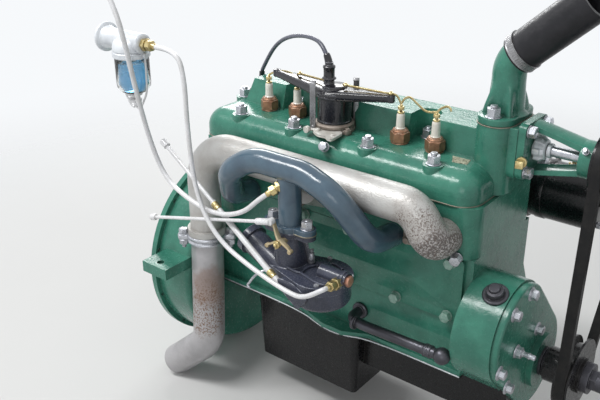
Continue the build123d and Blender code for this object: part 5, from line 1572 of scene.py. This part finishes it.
class ENGINE_OT_far_side(bpy.types.Operator):
    """Builds the far side's fittings: generator and starter bands, bolts, terminals, cap and plugs."""

    bl_idname = "engine.far_side"
    bl_label = "Far side"

    def execute(self, context):
        band = [(51.6, 0), (53.2, 0.4), (53.6, 1.4), (53.6, 14.6), (53.2, 15.6), (51.6, 16)]
        shield = [(12, 9), (14, 7.6), (15, 2), (40, 1.4), (46, 0), (46, -1)]
        blocks = [ring_at(band, mm(x, 162, 236), FORWARD, 96) for x in (549, 646)]
        blocks.append(lathe(shield, mm(545, 162, 236), BACK, 64))
        blocks.append(lathe(bar(3.6, -9, 9), mm(654, 201, 275), (0, -1, 1), 28))
        blocks.append(placed(hex_nut(0.009, 0.005), mm(654, 195, 281), (0, -1, 1)))
        piece("generator_bands", blocks, "black_paint")

        band = [(55.6, 0), (57.4, 0.4), (57.8, 1.4), (57.8, 16.6), (57.4, 17.6), (55.6, 18)]
        shield = [(12, 10), (14, 8.6), (15, 2), (46, 1.4), (52, 0), (52, -1)]
        blocks = [
            ring_at(band, mm(262, 172, 108), FORWARD, 96),
            lathe(shield, mm(293, 172, 108), FORWARD, 64),
            ring_at([(15.7, 0), (17, 0.5), (17, 5.5), (15.7, 6)], mm(204, 172, 158), FORWARD),
            ring_at([(15.7, 0), (17, 0.5), (17, 3.5), (15.7, 4)], mm(238, 172, 158), FORWARD),
        ]
        piece("starter_bands", blocks, "black_paint")

        blocks = []
        for side in (-1, 1):
            blocks += hex_bolt(mm(543.7, 162, 236 + 30 * side), BACK, 0.010, 0.006)
            blocks += hex_bolt(mm(748, 162, 236 + 44 * side), FORWARD, 0.010, 0.005)
            blocks += hex_bolt(mm(294.4, 172, 108 + 34 * side), FORWARD, 0.011, 0.007)
            blocks += hex_bolt(mm(365 + 43 * side, 110, 250), FAR, 0.016, 0.010)
        starter_radius = 0.0558
        for angle in (-25, 30, 150, 205, 270):
            out = spoke(angle)
            at = mm(176, 172, 108) + starter_radius * out
            blocks.append(placed(slotted_screw(0.0062, 0.003), at, out))
        piece("far_bolt_set", blocks, "zinc_steel")

        blocks = []
        for y in (150, 176):
            blocks += nut_on_stud(mm(690, y, 286), UP, 0.009, 0.005, 0.0022, 0.0009, 0.006)
        blocks += nut_on_stud(mm(245, 172, 152), FORWARD, 0.011, 0.006, 0.003, 0.001, 0.008)
        blocks += nut_on_stud(mm(245, 172, 167), FORWARD, 0.007, 0.004, 0.0018, 0.0008, 0.005)
        piece("far_terminal_set", blocks, "brass_fitting")

        cap = [(21.4, -1), (23, 0.4), (24.4, 2), (24.4, 11), (23, 12.4), (17, 13.6), (15, 15.4), (0, 16)]
        grip = knurl(24.4 * MM, 36, 0.9 * MM)
        blocks = [lathe(cap, mm(455, 170, 128), (0, 0.654, 0.757), 144, grip)]
        piece("filler_cap", blocks, "dark_steel")
        plug = [(0, 0.6), (12.6, 0.8), (14.6, 2.2), (16.6, 2.6), (17.8, 2), (18, 0), (18, -0.6)]
        blocks = [lathe(plug, mm(x, 98, 232), FAR, 56) for x in (150, 246, 484)]
        piece("core_plug_set", blocks, "engine_green", finish="worn_green")
        bead = [(23.6, 0), (25.4, 0.6), (26, 2), (25.4, 3.4), (23.6, 4)]
        piece("inlet_bead", [ring_at(bead, mm(365, 166, 188), UP)], "engine_green")
        return {"FINISHED"}


class ENGINE_OT_rear_end(bpy.types.Operator):
    """Builds the clutch's bolts, spring cups, levers and hub, and the housing's timing cover."""

    bl_idname = "engine.rear_end"
    bl_label = "Clutch and housing"

    def execute(self, context):
        bolt_circle, lever_circle, spring_circle = 0.135, 0.045, 0.076
        blocks = []
        for step in range(6):
            at = mm(40, 0, 0) + bolt_circle * spoke(30 + 60 * step)
            blocks += hex_bolt(at, BACK, 0.0115, 0.006)
        for step in range(3):
            at = mm(18.8, 0, 0) + lever_circle * spoke(120 * step)
            blocks.append(placed(hex_nut(0.011, 0.005), at, BACK))
        piece("clutch_bolt_set", blocks, "zinc_steel", body="crank")

        cup = [(0, 2.1), (9, 2), (11.2, 1.7), (12.2, 0.9), (12.8, 0.2), (13.6, 0), (13.6, -1)]
        outward = [spring_circle * spoke(20 + 40 * step) for step in range(9)]
        blocks = [lathe(cup, mm(16, 0, 0) + out, BACK) for out in outward]
        piece("clutch_spring_cups", blocks, "black_paint", body="crank")

        reach = mm((27, 62), (22, 55), (18.6, 46), (18, 38), (21, 30))
        blocks = []
        for step in range(3):
            run = reach[:, :1] * np.array(FORWARD) + reach[:, 1:] * spoke(120 * step)
            blocks.append(swept(smooth_path(run, 24), 1.0, section=flat_bar(7, 1.6), across=FORWARD))
        hub = [(12, 1), (50, 1), (50, 3), (24, 4), (20, 6), (20, 15), (18.6, 16), (12, 16)]
        blocks.append(ring_at(hub, mm(44, 0, 0), BACK))
        piece("clutch_levers", blocks, "dark_steel", body="crank")

        blocks = [placed(slab(rounded(24, 14, 4, 48), -1.2, 2.6, 0.8), mm(50, 0, 196))]
        blocks += [placed(slotted_screw(0.0042, 0.0026), mm(50 + 17 * side, 0, 198.5)) for side in (-1, 1)]
        piece("timing_cover_plate", blocks, "engine_green")
        return {"FINISHED"}


class ENGINE_OT_fan_fittings(bpy.types.Operator):
    """Builds the fan's bolts, the nuts on the fan's and generator's shafts, and a pale line along the pan
    flange: its gasket edge and a painted highlight.
    """

    bl_idname = "engine.fan_fittings"
    bl_label = "Fan fittings and pan gasket glint"

    def execute(self, context):
        hub, bolt_circle = mm(848, 0, 371), 0.024
        blocks = nut_on_stud(hub, FORWARD, 0.020, 0.0075, 0.006, 0.0015, 0.002)
        for angle in (0, 90, 180, 270):
            blocks += hex_bolt(hub + bolt_circle * spoke(angle), FORWARD, 0.0115, 0.0065)
        piece("fan_bolt_set", blocks, "zinc_steel", body="fan_rotor")
        blocks = nut_on_stud(mm(815.5, 162, 236), FORWARD, 0.022, 0.010, 0.007, 0.0015, 0.005)
        piece("generator_nut", blocks, "zinc_steel", body="generator_rotor")
        # A pale bar along the pan flange: the gasket's edge and a painted highlight
        edge = [(98, -128.6, 0), (322, -128.6, 0), (389, -149.6, 0), (431, -149.6, 0), (476, -128.6, 0)]
        blocks = [swept(rounded_corners([*edge, (655, -128.6, 0)], 3), 0.0012, 12)]
        piece("pan_bead", blocks, "gasket_metal", finish="strainer_cast")
        return {"FINISHED"}


CLASSES = (
    EngineColours,
    EngineSizes,
    EngineStage,
    ENGINE_OT_finishes,
    ENGINE_OT_stage,
    ENGINE_OT_ignition_lead,
    ENGINE_OT_head_nuts,
    ENGINE_OT_spark_plugs,
    ENGINE_OT_distributor,
    ENGINE_OT_strainer,
    ENGINE_OT_carburettor,
    ENGINE_OT_pipework,
    ENGINE_OT_clamps,
    ENGINE_OT_front_end,
    ENGINE_OT_outlet,
    ENGINE_OT_far_side,
    ENGINE_OT_rear_end,
    ENGINE_OT_fan_fittings,
)
STEPS = [made.bl_idname for made in CLASSES if issubclass(made, bpy.types.Operator)]


class ENGINE_PT_parts(bpy.types.Panel):
    """Lists the engine's parts and settings in the sidebar."""

    bl_idname = "ENGINE_PT_parts"
    bl_label = "Side-valve engine"
    bl_space_type = "VIEW_3D"
    bl_region_type = "UI"
    bl_category = "Engine"

    def draw(self, context):
        for step in STEPS:
            self.layout.operator(step)
        scene = context.scene
        for settings in (scene.engine_sizes, scene.engine_colours, scene.engine_stage):
            for name in settings.__annotations__:
                self.layout.prop(settings, name)


def register():
    """Register the classes and hang the settings on the scene."""
    for made in (*CLASSES, ENGINE_PT_parts):
        bpy.utils.register_class(made)
    bpy.types.Scene.engine_colours = PointerProperty(type=EngineColours)
    bpy.types.Scene.engine_sizes = PointerProperty(type=EngineSizes)
    bpy.types.Scene.engine_stage = PointerProperty(type=EngineStage)


def unregister():
    """Take the settings off the scene and unregister the classes."""
    del bpy.types.Scene.engine_stage
    del bpy.types.Scene.engine_sizes
    del bpy.types.Scene.engine_colours
    for made in reversed((*CLASSES, ENGINE_PT_parts)):
        bpy.utils.unregister_class(made)


def main():
    """Register the add-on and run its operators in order."""
    register()
    for step in STEPS:
        area, name = step.split(".")
        getattr(getattr(bpy.ops, area), name)()


if __name__ == "__main__":
    main()
